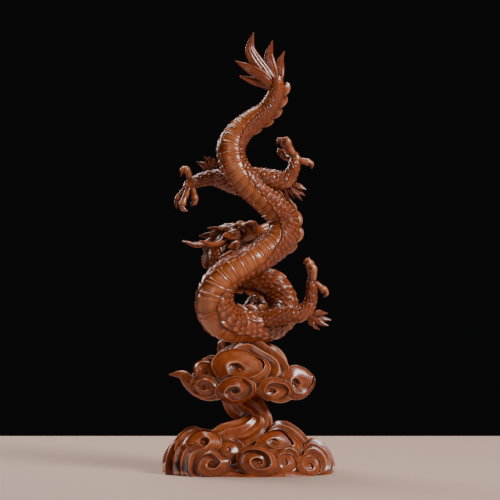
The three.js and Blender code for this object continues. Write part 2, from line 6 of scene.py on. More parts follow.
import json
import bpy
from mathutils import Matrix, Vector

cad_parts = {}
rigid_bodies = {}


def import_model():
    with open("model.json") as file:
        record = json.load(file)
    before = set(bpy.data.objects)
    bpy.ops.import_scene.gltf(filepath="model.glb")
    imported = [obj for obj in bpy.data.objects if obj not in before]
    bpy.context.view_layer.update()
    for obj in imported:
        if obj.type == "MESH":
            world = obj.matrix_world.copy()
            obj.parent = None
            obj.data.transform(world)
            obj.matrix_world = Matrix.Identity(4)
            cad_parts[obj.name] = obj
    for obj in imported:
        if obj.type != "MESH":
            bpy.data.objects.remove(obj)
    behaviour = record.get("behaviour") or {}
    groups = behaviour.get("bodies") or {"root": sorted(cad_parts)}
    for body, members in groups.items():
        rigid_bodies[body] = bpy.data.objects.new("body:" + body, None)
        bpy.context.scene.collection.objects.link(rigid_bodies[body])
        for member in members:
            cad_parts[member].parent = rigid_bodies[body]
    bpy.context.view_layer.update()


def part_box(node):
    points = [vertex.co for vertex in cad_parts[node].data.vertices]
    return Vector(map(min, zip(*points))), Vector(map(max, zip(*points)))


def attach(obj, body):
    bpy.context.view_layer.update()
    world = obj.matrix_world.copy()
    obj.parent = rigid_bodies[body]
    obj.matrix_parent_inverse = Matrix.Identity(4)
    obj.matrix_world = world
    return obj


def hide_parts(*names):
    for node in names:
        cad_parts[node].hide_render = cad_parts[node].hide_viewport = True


bl_info = {
    "name": "Dragon on a cloud stand",
    "version": (1, 0, 0),
    "blender": (4, 5, 0),
    "location": "View3D > Sidebar > Dragon",
    "description": "A boxwood dragon, tail up, on a carved cloud stand",
    "category": "Add Mesh",
}

import bpy
import numpy as np
from mathutils import Vector

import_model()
DRAWN_HEIGHT = 201.06  # mm, the height of the dragon that the points below are drawn for
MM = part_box("dragon")[1].z / DRAWN_HEIGHT  # metres to a millimetre of the drawing
UP = np.array([0.0, 0.0, 1.0])

# Body from tail to throat: centre, radius, and the way the belly faces there.
BODY = [
    [14, 0, 181, 2.7, -1, -0.35, 0],
    [13.5, 0, 175, 3.2, -1, -0.3, 0],
    [11.5, 0.5, 170, 3.7, -0.95, -0.35, 0.1],
    [8, 1.5, 165, 4.3, -0.75, -0.5, 0.4],
    [2, 2, 160.5, 5, -0.6, -0.7, 0.45],
    [-3.5, 1.5, 155.5, 5.5, -0.45, -0.85, 0.2],
    [-7, 0, 149.5, 6.1, -0.1, -1, 0],
    [-7, -1, 143.5, 6.1, 0, -1, 0],
    [-4.5, -1.5, 137.5, 6.1, -0.1, -1, 0],
    [0.5, -1, 132, 6.2, -0.35, -0.85, -0.3],
    [6.5, 0, 126.5, 6.2, -0.45, -0.75, -0.4],
    [12, 1, 121.5, 6.3, -0.65, -0.6, -0.4],
    [16.4, 1.5, 116, 6.6, -0.85, -0.5, -0.1],
    [17, 0, 110.5, 6.8, -0.88, -0.5, 0.1],
    [13.5, -3, 104.5, 6.8, -0.6, -0.8, 0.35],
    [7, -6.5, 99.5, 6.6, -0.25, -0.95, 0.2],
    [0, -9.5, 95.5, 6.6, 0, -1, 0],
    [-7, -11, 91.5, 6.8, 0.05, -1, 0],
    [-12, -11.5, 87, 7.2, -0.05, -1, 0],
    [-14.5, -11.5, 81, 7.8, -0.4, -0.9, 0],
    [-14.5, -10.5, 75.5, 8.2, -0.6, -0.8, -0.1],
    [-11.5, -9, 70, 8.2, -0.65, -0.65, -0.35],
    [-6.5, -6.5, 67, 7.7, -0.4, -0.5, -0.75],
    [0.5, -3.5, 66, 7.2, -0.1, -0.25, -0.95],
    [7, 0.5, 66, 7, 0, 0, -1],
    [13, 6, 68, 7, 0.35, 0.1, -0.95],
    [16.5, 11, 73, 7.2, 0.85, 0.3, -0.4],
    [15.5, 14, 79, 7.2, 0.85, 0.45, 0.15],
    [12.5, 15, 84.5, 6.8, 0.6, 0.5, 0.65],
    [6.5, 15, 88, 6.2, 0.2, 0.4, 0.9],
    [0, 14.5, 89.5, 5.8, 0, 0.3, 0.95],
    [-7, 14, 91, 5.5, 0.2, 0.2, 0.9],
    [-12, 13.5, 95.5, 5.3, 0.8, 0, 0.6],
    [-12, 14, 101.5, 5.1, 0.95, 0, 0],
    [-8.5, 15, 106, 5, 0.6, 0.1, -0.75],
    [-4, 17.5, 107.5, 4.8, 0.2, 0.1, -0.95],
]
MEAN_RADIUS = 6.5  # mm, the body radius at which scales and ribs have their full height
CREST_REACH = 8.0  # mm, where the crest's own line runs, from the middle of the body
SCALE_COLUMNS = 7  # scales from the belly's edge to the crest
SCALE_PITCH = 0.36  # length of a scale, in body radii
PLATE_PITCH = 0.64  # length of a belly plate, in body radii
ROWS_PER_SCALE = 6
KNOB = 0.34  # turns taken up by the bead in a curl's middle
LEDGE = 0.95  # share of the way from a curl's eye to its outline where the thin rim begins
UNEVENNESS = 0.07  # mm, the height of each wave that the hand leaves on the skin
SHARP_ANGLE = 38  # degrees between two faces past which the edge between them looks sharp


# ---- curves and shells, in numpy ----
def unit(vectors):
    """Each vector divided by its own length."""
    return vectors / np.linalg.norm(vectors, axis=-1, keepdims=True)


def smoothstep(x, low, high):
    """0 below low, 1 above high, and three squares less two cubes of the share between them."""
    x = np.clip((x - low) / (high - low), 0, 1)
    return x * x * (3 - 2 * x)


def spline(stations, t, closed=False):
    """Values and slopes of a smooth curve through stations, at t from 0 to 1.

    Between two stations it is the cubic whose slope at each one is half the step between that
    station's neighbours.
    """
    p = np.asarray(stations, float)
    p = p[:, None] if p.ndim == 1 else p
    if closed:
        p = np.vstack([p[-1], p, p[:2]])
    else:
        p = np.vstack([2 * p[0] - p[1], p, 2 * p[-1] - p[-2]])
    spans = len(p) - 3
    x = np.asarray(t, float) * spans
    i = np.clip(x.astype(int), 0, spans - 1)
    f = (x - i)[:, None]
    a, b, c, d = p[i], p[i + 1], p[i + 2], p[i + 3]
    m, n = (c - a) / 2, (d - b) / 2
    cubic, square = 2 * b - 2 * c + m + n, -3 * b + 3 * c - 2 * m - n
    value = ((cubic * f + square) * f + m) * f + b
    slope = (3 * cubic * f + 2 * square) * f + m
    return value, slope


def even_places(line, count):
    """count + 1 places from 0 to 1 that lie an even way apart along line, and that way in mm."""
    t = np.linspace(0, 1, 801)
    way = np.append(0, np.cumsum(np.linalg.norm(np.diff(line(t), axis=0), axis=1)))
    return np.interp(np.linspace(0, way[-1], count + 1), way, t), way[-1] / count


def weld(points, triangles):
    """A shell with its points at one place made one, and its faces of fewer than three points dropped.

    The faces are turned round where the volume, a sixth of the sum of p . (q x r), is negative.
    """
    off_grid = 0.0000314159  # keeps two points at one place from rounding apart
    rounded = np.round(points + off_grid, 6)
    _, first, where = np.unique(rounded, axis=0, return_index=True, return_inverse=True)
    triangles = where.reshape(-1)[triangles]
    a, b, c = triangles.T
    triangles = triangles[(a != b) & (b != c) & (c != a)]
    points = points[first]
    p, q, r = (points[triangles[:, k]] for k in range(3))
    if np.einsum("ij,ij->", p, np.cross(q, r)) < 0:
        triangles = triangles[:, ::-1]
    return points, triangles


def grid_shell(grid, wrap=True, ends=True):
    """A closed shell over a grid of points: rings in turn, each joined to the next.

    wrap joins each ring's last point to its first, and ends puts a fan over both end rings.
    """
    rings, around = grid.shape[:2]
    points = grid.reshape(-1, 3)
    cell = np.arange(rings * around).reshape(rings, around)
    if wrap:
        cell = np.hstack([cell, cell[:, :1]])
    a, b, c, d = cell[:-1, :-1], cell[:-1, 1:], cell[1:, :-1], cell[1:, 1:]
    faces = np.concatenate([np.stack(t, -1).reshape(-1, 3) for t in ((a, b, c), (b, d, c))])
    if ends:
        hubs = np.stack([grid[0].mean(0), grid[-1].mean(0)])
        first, last = len(points), len(points) + 1
        points = np.vstack([points, hubs])
        low = [np.full(around, first), cell[0, 1:], cell[0, :-1]]
        high = [np.full(around, last), cell[-1, :-1], cell[-1, 1:]]
        faces = np.concatenate([faces, np.stack(low, -1), np.stack(high, -1)])
    return weld(points, faces)


def sweep(points, widths, side=(0, 0, 1), flat=1.0, sides=12, rings=16, section=None, relief=None):
    """A closed tube that swells and tapers along a smooth curve through points.

    widths are its half-widths at those points, side is the way its width lies, flat its thickness
    share. section(across, over) bends the unit circle, and relief(way, turn, width) adds millimetres.
    """
    t, step = even_places(lambda s: spline(points, s)[0], rings)
    centre, slope = spline(points, t)
    width = np.maximum(spline(widths, t)[0], 0.02)
    along = unit(slope)
    across = np.asarray(side, float) - along * (along @ np.asarray(side, float))[:, None]
    across = unit(across)
    over = np.cross(along, across)
    turn = np.linspace(0, 2 * np.pi, sides, endpoint=False)[None]
    x, y = np.cos(turn), np.sin(turn)
    if section:
        x, y = section(x, y)
    reach = width
    if relief:
        way = (np.arange(rings + 1) * step)[:, None]
        reach = width + relief(way, turn, width)
    grid = (
        centre[:, None]
        + across[:, None] * (reach * x)[..., None]
        + over[:, None] * (reach * flat * y)[..., None]
    )
    return grid_shell(grid)


def lump(place, halves, rings=24):
    """A rounded lump: a sphere drawn out to its three half-sizes."""
    t = np.linspace(0, np.pi, rings)[:, None]
    turn = np.linspace(0, 2 * np.pi, 2 * rings, endpoint=False)[None]
    grid = np.stack([np.sin(t) * np.cos(turn), np.sin(t) * np.sin(turn), np.cos(t) + 0 * turn], -1)
    return grid_shell(np.array(place, float) + grid * halves)


def scales(across, along):
    """Height from 0 to 1 of overlapping scales, one wide and one long, set like roof tiles.

    A scale rises to its round free end, which reaches 0.6 beyond its own length, over the next row.
    """
    row = np.floor(along)

    def local(r):
        x = across + 0.5 * np.mod(r, 2)
        return 2 * (x - np.floor(x)) - 1, along - r

    x, y = local(row - 1)
    over = y < 1 + 0.6 * np.sqrt(np.clip(1 - x * x, 0, 1))
    under_x, under_y = local(row)
    x, y = np.where(over, x, under_x), np.where(over, y, under_y)
    return y / 1.6 * (1 - 0.4 * x * x)


def grooved(count, depth):
    """A section whose two broad faces carry count grooves, as deep as depth times the thickness."""

    def section(x, y):
        ridge = np.abs(np.sin(np.pi * (x + 1) / 2 * (count + 1))) ** 0.6
        return x, y * (1 - depth * (1 - ridge) * (np.abs(x) < 0.93))

    return section


def lock(points, widths, side, flat=0.5, grooves=2, sides=20, rings=14):
    """A lock of hair or a flame: a flattened, tapering, grooved sweep."""
    return sweep(points, widths, side, flat, sides, rings, section=grooved(grooves, 0.22))


# ---- the dragon ----
def body_frame(t):
    """Centre, three directions and radius of the body at t, from 0 at the tail to 1 at the throat."""
    value, slope = spline(BODY, t)
    along = unit(slope[:, :3])
    belly = value[:, 4:]
    belly = unit(belly - along * np.sum(belly * along, 1, keepdims=True))
    return value[:, :3], along, belly, np.cross(along, belly), value[:, 3]


def body_ways():
    """Fine places along the body, with the way in mm and the radius at each.

    The way is the mean of the middle line's length and the crest line's.
    """
    t = np.linspace(0, 1, 4001)
    centre, _, belly, _, radius = body_frame(t)
    lines = centre, centre - CREST_REACH * belly
    steps = np.mean([np.linalg.norm(np.diff(line, axis=0), axis=1) for line in lines], axis=0)
    return t, np.append(0, np.cumsum(steps)), radius


def body_counts(pitch):
    """Fine places along the body and how many pitches, given in body radii, lie before each."""
    t, way, radius = body_ways()
    steps = np.diff(way) / (pitch * (radius[1:] + radius[:-1]) / 2)
    return t, np.append(0, np.cumsum(steps))


def body_points(t, angle, reach):
    """Points of a grid: at each t a ring of points, at angles in radians from the middle of the belly."""
    centre, _, belly, flank, _ = body_frame(t)
    return (
        centre[:, None]
        + belly[:, None] * (reach * np.cos(angle))[..., None]
        + flank[:, None] * (reach * np.sin(angle))[..., None]
    )


def body_back(sizes):
    """The body's sides and back: rings whose reach is the radius plus the height of scales."""
    half = np.radians(sizes.belly_half_angle)
    fine_t, count = body_counts(SCALE_PITCH)
    rows = np.linspace(0, count[-1], int(count[-1] * ROWS_PER_SCALE))
    t = np.interp(rows, count, fine_t)
    radius = body_frame(t)[4][:, None]
    way = np.interp(t, *body_ways()[:2])[:, None]
    share = np.linspace(0, 1, 4 * SCALE_COLUMNS + 3)[None]
    angle = half - 0.08 + (np.pi - half + 0.08) * share
    ends = smoothstep(way, 0, 4) * (1 - smoothstep(way, way.max() - 3, way.max()))
    edge = smoothstep(share, 0, 0.02) * (1 - smoothstep(share, 0.97, 1))
    rise = scales(share * SCALE_COLUMNS + 0.25, count[-1] - rows[:, None] + 0 * share)
    reach = radius + in_mm(sizes.scale_height) * radius / MEAN_RADIUS * (0.1 + rise * ends) * edge
    under = np.linspace(-1, 1, 5)[None, 1:-1] * (half - 0.1)
    wide = np.ones_like(radius)
    angles = [angle * wide, (2 * np.pi - angle[:, ::-1][:, 1:]) * wide, under * wide]
    reaches = [reach, reach[:, ::-1][:, 1:], (radius - 1.2) * np.ones_like(under)]
    return grid_shell(body_points(t, np.hstack(angles), np.hstack(reaches)))


def crest(sizes):
    """The crest: flat grooved scallops that rise from the back and lean towards the tail."""
    t, way, _ = body_ways()
    pitch = in_mm(sizes.crest_pitch)
    roots = np.arange(way[-1] - 6, 4, -pitch)
    made = []
    for root in roots:
        part = root - pitch * np.array([-0.42, 0.0, 0.42, 0.8, 1.0])
        where = np.interp(np.clip(part, 0, way[-1]), way, t)
        centre, _, belly, _, radius = body_frame(where)
        rise = in_mm(sizes.crest_height) * np.array([-0.9, 0.1, 0.62, 0.86, 0.72])
        line = centre - belly * (radius + rise - 0.6)[:, None]
        broad = pitch * np.array([0.12, 0.27, 0.33, 0.24, 0.06])
        made.append(lock(line, broad, -belly[2], 0.3, grooves=3, sides=20, rings=11))
    return made


def body_belly(sizes):
    """The belly: a strip of plates, each a gentle ramp towards the tail with a rib and a raised edge."""
    half = np.radians(sizes.belly_half_angle)
    fine_t, count = body_counts(PLATE_PITCH)
    part = np.array([0, 0.12, 0.3, 0.45, 0.56, 0.61, 0.66, 0.71, 0.78, 0.87, 0.93, 0.97])
    rows = (np.arange(int(count[-1]))[:, None] + part[None]).reshape(-1)
    ramp = 0.06 * part**2
    rib = np.exp(-(((part - 0.66) / 0.05) ** 2)) + 1.25 * np.exp(-(((part - 0.94) / 0.045) ** 2))
    height = np.tile(ramp + 0.55 * in_mm(sizes.plate_rib) * rib, int(count[-1]))
    t = np.interp(count[-1] - 0.3 - rows, count, fine_t)
    radius = body_frame(t)[4][:, None]
    share = np.sin(np.linspace(-1, 1, 13) * np.pi / 2)[None]
    angle = share * (half + 0.02)
    dip = 0.3 * smoothstep(np.abs(share), 0.86, 1)
    reach = radius + 0.12 + height[:, None] * radius / MEAN_RADIUS * (1 - np.abs(share) ** 6) - dip
    inner = np.linspace(1, -1, 4)[None] * half * 0.8
    angles = np.hstack([angle + 0 * radius, inner + 0 * radius])
    reaches = np.hstack([reach, radius * 0.6 + 0 * inner])
    return grid_shell(body_points(t, angles, reaches))


def tail_tuft():
    """Five grooved flames in a fan that join half way down."""
    flames = [
        ([[13, 0, 176], [8, 0, 183], [3.6, -0.5, 188.8], [1.5, -1, 194], [3, -1, 201]],
         [2.6, 3.1, 3.1, 2.2, 0.25], 3),
        ([[13.5, 1, 177], [11.4, 1, 185], [10.2, 1, 191], [11.7, 0, 197.4]], [2.2, 2.5, 2.1, 0.25], 2),
        ([[14.5, 0, 176.5], [15, 1.2, 183], [15.2, 1, 187.6], [17.3, -0.5, 192.6]], [1.8, 2.1, 1.9, 0.25], 2),
        ([[12.5, -1, 176.5], [7, -1, 181.4], [1, -1.4, 184.6], [-5.4, -0.5, 188.2]],
         [2.2, 2.6, 2.1, 0.25], 2),
        ([[13, 0, 175.5], [8, 1, 177.8], [2.4, 1, 179.2], [-3.4, 0, 181.2]], [2, 2.2, 1.7, 0.25], 2),
    ]
    return [
        lock(points, widths, (0.5, 0, 0.5), 0.45, grooves, sides=36, rings=34)
        for points, widths, grooves in flames
    ]


def limb(points, widths, rings=70, columns=11):
    """A leg: a tube of muscle with small scales all round that point down it, lower where it is thin."""

    def relief(way, turn, width):
        return 0.6 * np.minimum(width / 3.5, 1) * scales(turn / (2 * np.pi) * columns, way / 2.1)

    return sweep(points, widths, (0, 1, 0), sides=4 * columns, rings=rings, relief=relief)


def toe(palm, path):
    """A toe: swells at its knuckle, necks in, and ends in a smooth hooked claw."""
    line = spline([palm, *path], np.linspace(0, 1, 9))[0]
    widths = [1.1, 1.45, 1.45, 1.5, 1.75, 1.35, 1.3, 0.75, 0.12]
    return sweep(line, widths, (0, 1, 0), sides=12, rings=18)


def foot(palm, paths):
    """The toes that spring from one palm."""
    return [toe(palm, path) for path in paths]


def flames(root, tips, width, side):
    """Flame locks that fan out from a joint, each bowed a little."""
    made = []
    root = np.array(root, float)
    for n, tip in enumerate(tips):
        tip = np.array(tip, float)
        bow = (0.35 - 0.35 * n) * unit(np.cross(tip - root, [0, 1, 0]))
        middle = root + 0.55 * (tip - root) + bow
        made.append(lock([root, middle, tip], [width * 0.5, width, 0.15], side, 0.55, grooves=3, sides=24,
                         rings=12))
    return made


def legs():
    """The four legs with their toes and flame locks."""
    hind_right = [
        limb([[-1, 1, 136], [9, -0.5, 134.3], [17, -1, 133.4], [20.9, -1.5, 137.5], [22, -1.5, 142.4],
              [21.4, -1, 146]],
             [3.4, 4.2, 3.9, 2.8, 2.4, 1.7]),
        *foot([22.5, -1.5, 143], [
            [[19.7, -3, 148.4], [17.7, -3.5, 152.2], [16, -4, 150]],
            [[18, 0.5, 148.6], [15.3, 1, 152.2], [13.7, 0.5, 149.8]],
            [[18, 3.5, 144], [15.2, 4, 147.2], [14.2, 3.5, 145]],
            [[26.3, -1.5, 141.9], [29.2, -1.5, 141], [29.8, -2, 138.6]],
        ]),
        *flames([19, -1, 132], [[27.2, -1, 129], [26.6, 0.5, 126.2], [25.2, -2.5, 124], [21.8, 1, 125]], 1.35,
                (0.6, 0, -0.8)),
        lock([[17, -1, 131.5], [18.8, -0.5, 125.3], [21.6, 0, 121], [22.7, 0, 118]], [0.9, 0.8, 1.2, 0.2],
             (1, 0, 0), 0.7, 1),
    ]
    hind_left = [
        limb([[-3, 4, 130.5], [-9.5, 8.5, 133], [-15.5, 10.5, 135], [-21, 9.5, 134], [-26, 7.2, 132],
              [-28.6, 6.4, 129.6]],
             [4, 3.9, 3.6, 3, 2.4, 1.6]),
        *foot([-26, 7, 132], [
            [[-27, 7, 137], [-29.2, 6.5, 139], [-30.6, 6, 135.2]],
            [[-30.7, 8, 127], [-32.2, 8, 123.5], [-32.4, 7, 120.5]],
            [[-28.8, 4.5, 125], [-29.8, 3.5, 121], [-27.2, 2.5, 119.2]],
            [[-24.4, 5, 127], [-24, 4, 123.5], [-26.2, 3.5, 122]],
        ]),
        *flames([-15, 11, 136], [[-15, 12, 144], [-17.6, 10.6, 145], [-20, 12, 145], [-23.3, 11, 142.4]], 1.7,
                (0.7, 0, 0.7)),
    ]
    front_right = [
        limb([[5, -4, 69], [15, -7.5, 71.3], [25, -9, 73], [29, -9, 78.5], [29.6, -9, 85.4],
              [29.5, -9, 89.4]],
             [3.4, 3.7, 3.6, 2.7, 2.3, 1.6]),
        *foot([29.8, -9, 87], [
            [[28.5, -10, 93], [27.9, -10.2, 96.8], [25.5, -10.4, 95.2]],
            [[29.4, -6, 93], [28.6, -5.4, 96], [26.5, -5.4, 95]],
            [[30.4, -12, 91], [29.6, -13, 94], [27.8, -13, 93]],
            [[33.3, -9, 84.6], [36, -9, 82.2], [34.8, -9.2, 79.8]],
        ]),
        *flames([27.5, -9, 71.5], [[36.8, -9, 72.8], [38.4, -8, 69.6], [37.2, -9.5, 67], [33.2, -8, 65]],
                1.45, (0.7, 0, -0.7)),
        *flames([10, -7, 69.5], [[1.5, -11, 70], [3, -10.6, 66.3]], 1.7, (0, 0, 1)),
    ]
    front_left = [
        limb([[8, 6, 68], [6.5, 16, 72], [4, 21.5, 77], [-1, 20, 71], [-6.5, 13, 63]],
             [3.4, 3.7, 3.4, 2.6, 2.2]),
        # on the cloud
        *foot([-7, 12, 62.5], [
            [[-10, 8.5, 60], [-10.8, 5.5, 57.6], [-10.5, 4.5, 54]],
            [[-6.8, 7.5, 60.5], [-6.3, 4.5, 58.5], [-6.1, 3.6, 56]],
            [[-11, 14, 59], [-12.5, 14.5, 56.2], [-12.5, 14, 52]],
            [[-4, 16.5, 60], [-3, 19, 57.5], [-3, 19.5, 54.5]],
        ]),
        *flames([4, 22, 78], [[9, 26, 84], [4, 28, 82.5], [0, 25, 85]], 1.8, (1, 0, 0)),
    ]
    return [*hind_right, *hind_left, *front_right, *front_left]


# The head's own frame: forward to the nose, to the side that faces the front, and up.
HEAD_PLACE = np.array([-5, 17, 107.5])
HEAD_FORWARD = unit(np.array([0.8, 0.58, 0.12]))
HEAD_SIDE = unit(np.cross(HEAD_FORWARD, UP))
HEAD_AXES = np.stack([HEAD_FORWARD, HEAD_SIDE, np.cross(HEAD_SIDE, HEAD_FORWARD)])


def head_points(points):
    """Points of the head's frame, in the drawing's."""
    return HEAD_PLACE + np.array(points, float) @ HEAD_AXES


def head_sweep(points, widths, side=(0, 0, 1), **options):
    """A sweep whose points and side are given in the head's frame."""
    return sweep(head_points(points), widths, np.array(side, float) @ HEAD_AXES, **options)


def head_lock(points, widths, side, **options):
    """A lock whose points and side are given in the head's frame."""
    return lock(head_points(points), widths, np.array(side, float) @ HEAD_AXES, **options)


def head_loft(stations, rings=40, sides=32, square=0.85):
    """A skin over upright rounded boxes along the head.

    A station is place, height, half-width and half-height. The box's section is a circle whose
    cosine and sine are raised to the power square.
    """
    t = np.linspace(0, 1, rings)
    f, u, width, height = spline(stations, t)[0].T[..., None]
    turn = np.linspace(0, 2 * np.pi, sides, endpoint=False)[None]
    x = np.sign(np.cos(turn)) * np.abs(np.cos(turn)) ** square
    y = np.sign(np.sin(turn)) * np.abs(np.sin(turn)) ** square
    grid = np.stack([f + 0 * x, width * x, u + height * y], -1)
    return grid_shell(head_points(grid))


def ball(place, radius, rings=12):
    """A sphere about a place in the head's frame."""
    return lump(head_points(place), radius, rings)


def head():
    """Skull, jaws, teeth, tongue, eyes, horns, ears, whiskers, mane and beard."""
    made = [
        # skull and snout, lower jaw, tongue
        head_loft([[-4, 0, 4.4, 4.6], [0, 0.8, 5.3, 5.3], [4, 1.3, 5.7, 5.2], [7.5, 1.6, 5, 4.3],
                   [10.5, 1.4, 3.8, 2.9], [14, 1.2, 3.4, 2.3], [17.5, 1.8, 3.9, 2.7], [20.5, 1.7, 3.2, 2.2],
                   [22, 1.2, 1.6, 1.1]]),
        head_loft([[0, -2.4, 3.6, 2.4], [6, -4.2, 3.5, 1.7], [11.5, -5.6, 2.9, 1.3], [15.5, -6.4, 2.5, 1.2],
                   [18, -6.4, 1.2, 0.8]], rings=24, sides=24),
        head_sweep([[5, 0, -2], [11, 0, -3.4], [15, 0, -3.2], [18, 0, -2]], [1.8, 1.7, 1.4, 0.3], (0, 1, 0),
                   flat=0.4),
    ]
    for s in (1, -1):
        made += [
            # eye, its two lids, nostril
            ball([7, s * 4.3, 3.4], 1.35),
            head_sweep([[5.2, s * 4.1, 4.2], [7, s * 4.9, 4.9], [8.9, s * 4.2, 4]], [0.3, 0.75, 0.25],
                       sides=10, rings=10),
            head_sweep([[5.4, s * 4.3, 2.6], [7, s * 4.9, 2], [8.8, s * 4.2, 2.6]], [0.2, 0.55, 0.2],
                       sides=10, rings=10),
            ball([19.6, s * 2.2, 2.9], 1.5, rings=8),
            # brow, ear, horn
            head_sweep([[3, s * 3.6, 5], [7, s * 4.6, 5.6], [10.5, s * 3.6, 4]], [1.1, 1.3, 0.5], flat=0.8),
            head_lock([[1, s * 4.6, 2.6], [-1, s * 7.4, 4.2], [-5, s * 9, 4.6]], [1.4, 1.7, 0.2], (0, 0, 1),
                      grooves=1),
            head_sweep(
                [[0.5, s * 2.6, 4.8], [-5, s * 3.8, 4.4], [-12, s * 5.2, -0.6], [-18.5, s * 6.2, -1.4],
                 [-25.5, s * 7, 1.2]],
                [1.9, 1.7, 1.5, 1.35, 0.4], sides=16, rings=40,
                relief=lambda way, turn, width: 0.1 * np.sin(way * 2.2) * (way < 15),
            ),
            # upper and lower fang, whisker
            head_sweep([[17.5, s * 3, 0.5], [17.5, s * 3.1, -2], [17, s * 3, -3.8]], [0.9, 0.7, 0.15],
                       sides=8, rings=6),
            head_sweep([[15, s * 2, -6], [15, s * 2.2, -3.8], [14.6, s * 2.2, -2.4]], [0.8, 0.6, 0.15],
                       sides=8, rings=6),
            head_sweep(
                [[18.5, s * 3.2, 1], [17, s * 6, -1.5], [11, s * 7.6, -4], [4, s * 7, -5.5], [-1, s * 5, -5]],
                [0.9, 0.8, 0.75, 0.7, 0.6], sides=8, rings=24,
            ),
        ]
        for n in range(4):  # teeth
            f = 8.5 + 2.1 * n
            made.append(head_sweep([[f, s * (3.4 - 0.1 * n), 0.2], [f, s * 3.3, -1.5]], [0.6, 0.2], sides=6,
                                   rings=3))
    back = np.array([1, 0, 0])
    locks = 9
    for n in range(locks):  # the mane, set round the neck with every other lock shorter
        turn = np.radians(-150 + 300 * n / (locks - 1))
        long = 1 if n % 2 == 0 else 0.72
        flatter = 1 - 0.35 * max(0, np.cos(turn))
        way = np.array([0, np.sin(turn), flatter * np.cos(turn)])
        spots = [way * 3.2, way * 7 - 4 * back]
        spots += [way * 7.6 - (4 + 5 * long) * back, way * 9.6 - (4 + 10.5 * long) * back]
        side = (0, np.cos(turn), -np.sin(turn))
        made.append(head_lock(spots, [0.8, 2.6, 2, 0.25], side, flat=0.55, grooves=3, sides=24, rings=20))
    for n in (-1.5, -0.5, 0.5, 1.5):  # the beard
        spots = [[9 - abs(n), n * 1.5, -5], [7, n * 2.2, -8.5], [2.5, n * 2.6, -11 + abs(n)]]
        made.append(head_lock(spots, [1.2, 1.6, 0.2], (0, 1, 0)))
    return made


# ---- the cloud stand ----
def lip(f):
    """A band's height from 0 to 1: a wall up to a thin edge, then a hollow fall away from it."""
    fall = np.clip((f - 0.1) / 0.8, 0, 1)
    return smoothstep(f, 0, 0.04) * (1 - fall) ** 2


def lobe(outline, eye, out, turns=1.7, dome=1.0, sink=1.2, step=1.9, hand=1, layers=0, fan=None, width=2.4,
         drop=1.4, rise=0.7, bend=0.35, depth=9.0, columns=72, wind=1.3):
    """A cloud lobe: a plate inside an outline, wound in to its eye by a spiral edge.

    The surface is eye + share * (outline - eye), where share is phase to the power wind. It is
    raised by a dome and by bands, each with a thin edge on its inner side, sinks towards the eye and
    has a thin edge along the outline. A band starts at phase k + turn, where turn runs once round the
    outline. Outside the outline come layers, spread towards fan: each starts one drop lower and rises
    to an edge of its own, and they bend back with the square of the way out. A skirt closes the lobe behind.
    """
    outline, eye = np.asarray(outline, float), np.asarray(eye, float)
    out = unit(np.asarray(out, float))
    turn = np.linspace(0, 1, columns + 1)
    rim = spline(outline[::hand], turn, closed=True)[0]
    across = rim - eye
    across -= out * (across @ out)[:, None]
    bands = np.array([0, 0.02, 0.04, 0.08, 0.14, 0.24, 0.38, 0.56, 0.76, 0.93])
    k = np.arange(-1, int(np.ceil(turns)))
    start = k[None, :, None] + turn[:, None, None]
    room = np.clip(turns - start, 0, 1) + 0 * bands
    phase = np.clip(start + bands * room, 0, turns).reshape(columns + 1, -1)
    band = np.broadcast_to(bands, room.shape).reshape(columns + 1, -1)
    room = room.reshape(columns + 1, -1)
    share = (phase / turns) ** wind
    swell = smoothstep(phase, KNOB, KNOB + 0.3)
    bead = np.sqrt(np.clip(1 - (phase / KNOB) ** 2, 0, 1))
    size = 0.35 + 0.65 * smoothstep(share, 0, 0.5)
    height = dome * (1 - share**2.5) - sink * (1 - smoothstep(share, 0.1, 0.75))
    height += step * (lip(band) * swell * room**0.4 * size + 0.4 * bead)
    edge = np.array([LEDGE, 0.96, 0.97, 0.985, 1.0])
    edge_rise = 0.4 * rise * np.array([0, 0.5, 1, 1, 0.5])
    height = height * (1 - smoothstep(share, LEDGE - 0.03, LEDGE))
    share = np.minimum(share, LEDGE)
    grid = eye + share[..., None] * (rim - eye)[:, None] + height[..., None] * out
    ledge = eye + edge[:, None] * (rim - eye)[:, None] + edge_rise[:, None] * out
    rows = [grid, ledge]  # of points on each spoke from the eye out, over the rim and back to a hub
    way = unit(across)
    fan_share = np.ones(columns + 1)
    if fan is not None:
        fan_share = smoothstep(way @ unit(np.asarray(fan, float)), 0.15, 0.85)
    part = np.array([0.03, 0.12, 0.3, 0.55, 0.8, 0.9, 0.96, 1.0])
    profile = np.array([0, 0, 0.1, 0.35, 0.8, 1, 1, 0.8])
    for n in range(layers):
        reach = width * (n + part[None]) * fan_share[:, None]
        lift = fan_share[:, None] * (rise * profile[None] - drop * (n + 1) - bend * (n + part[None]) ** 2)
        rows.append(rim[:, None] + way[:, None] * reach[..., None] + out * lift[..., None])
    edge = rows[-1][:, -1]
    for pull, back in ((-0.012, 0.05), (0.0, 0.14), (0.1, 0.32), (0.35, 0.65)):
        rows.append((edge + (eye - edge) * pull - out * back * depth)[:, None])
    rows.append(np.broadcast_to(eye - out * depth, (columns + 1, 1, 3)))
    return grid_shell(np.concatenate(rows, axis=1), wrap=False, ends=False)


def traced(points, depth, out):
    """Points given as right and up, set on the plane at depth below the first one that faces out."""
    p = np.asarray(points, float)
    return np.stack([p[:, 0], depth - ((p - p[0]) @ [out[0], out[2]]) / out[1], p[:, 1]], -1)


def face_lobe(eye, outline, depth, out, **options):
    """A lobe whose eye and outline are given as right and up, as seen from the front."""
    spots = traced([eye, *outline], depth, out)
    return lobe(spots[1:], spots[0], out, **options)


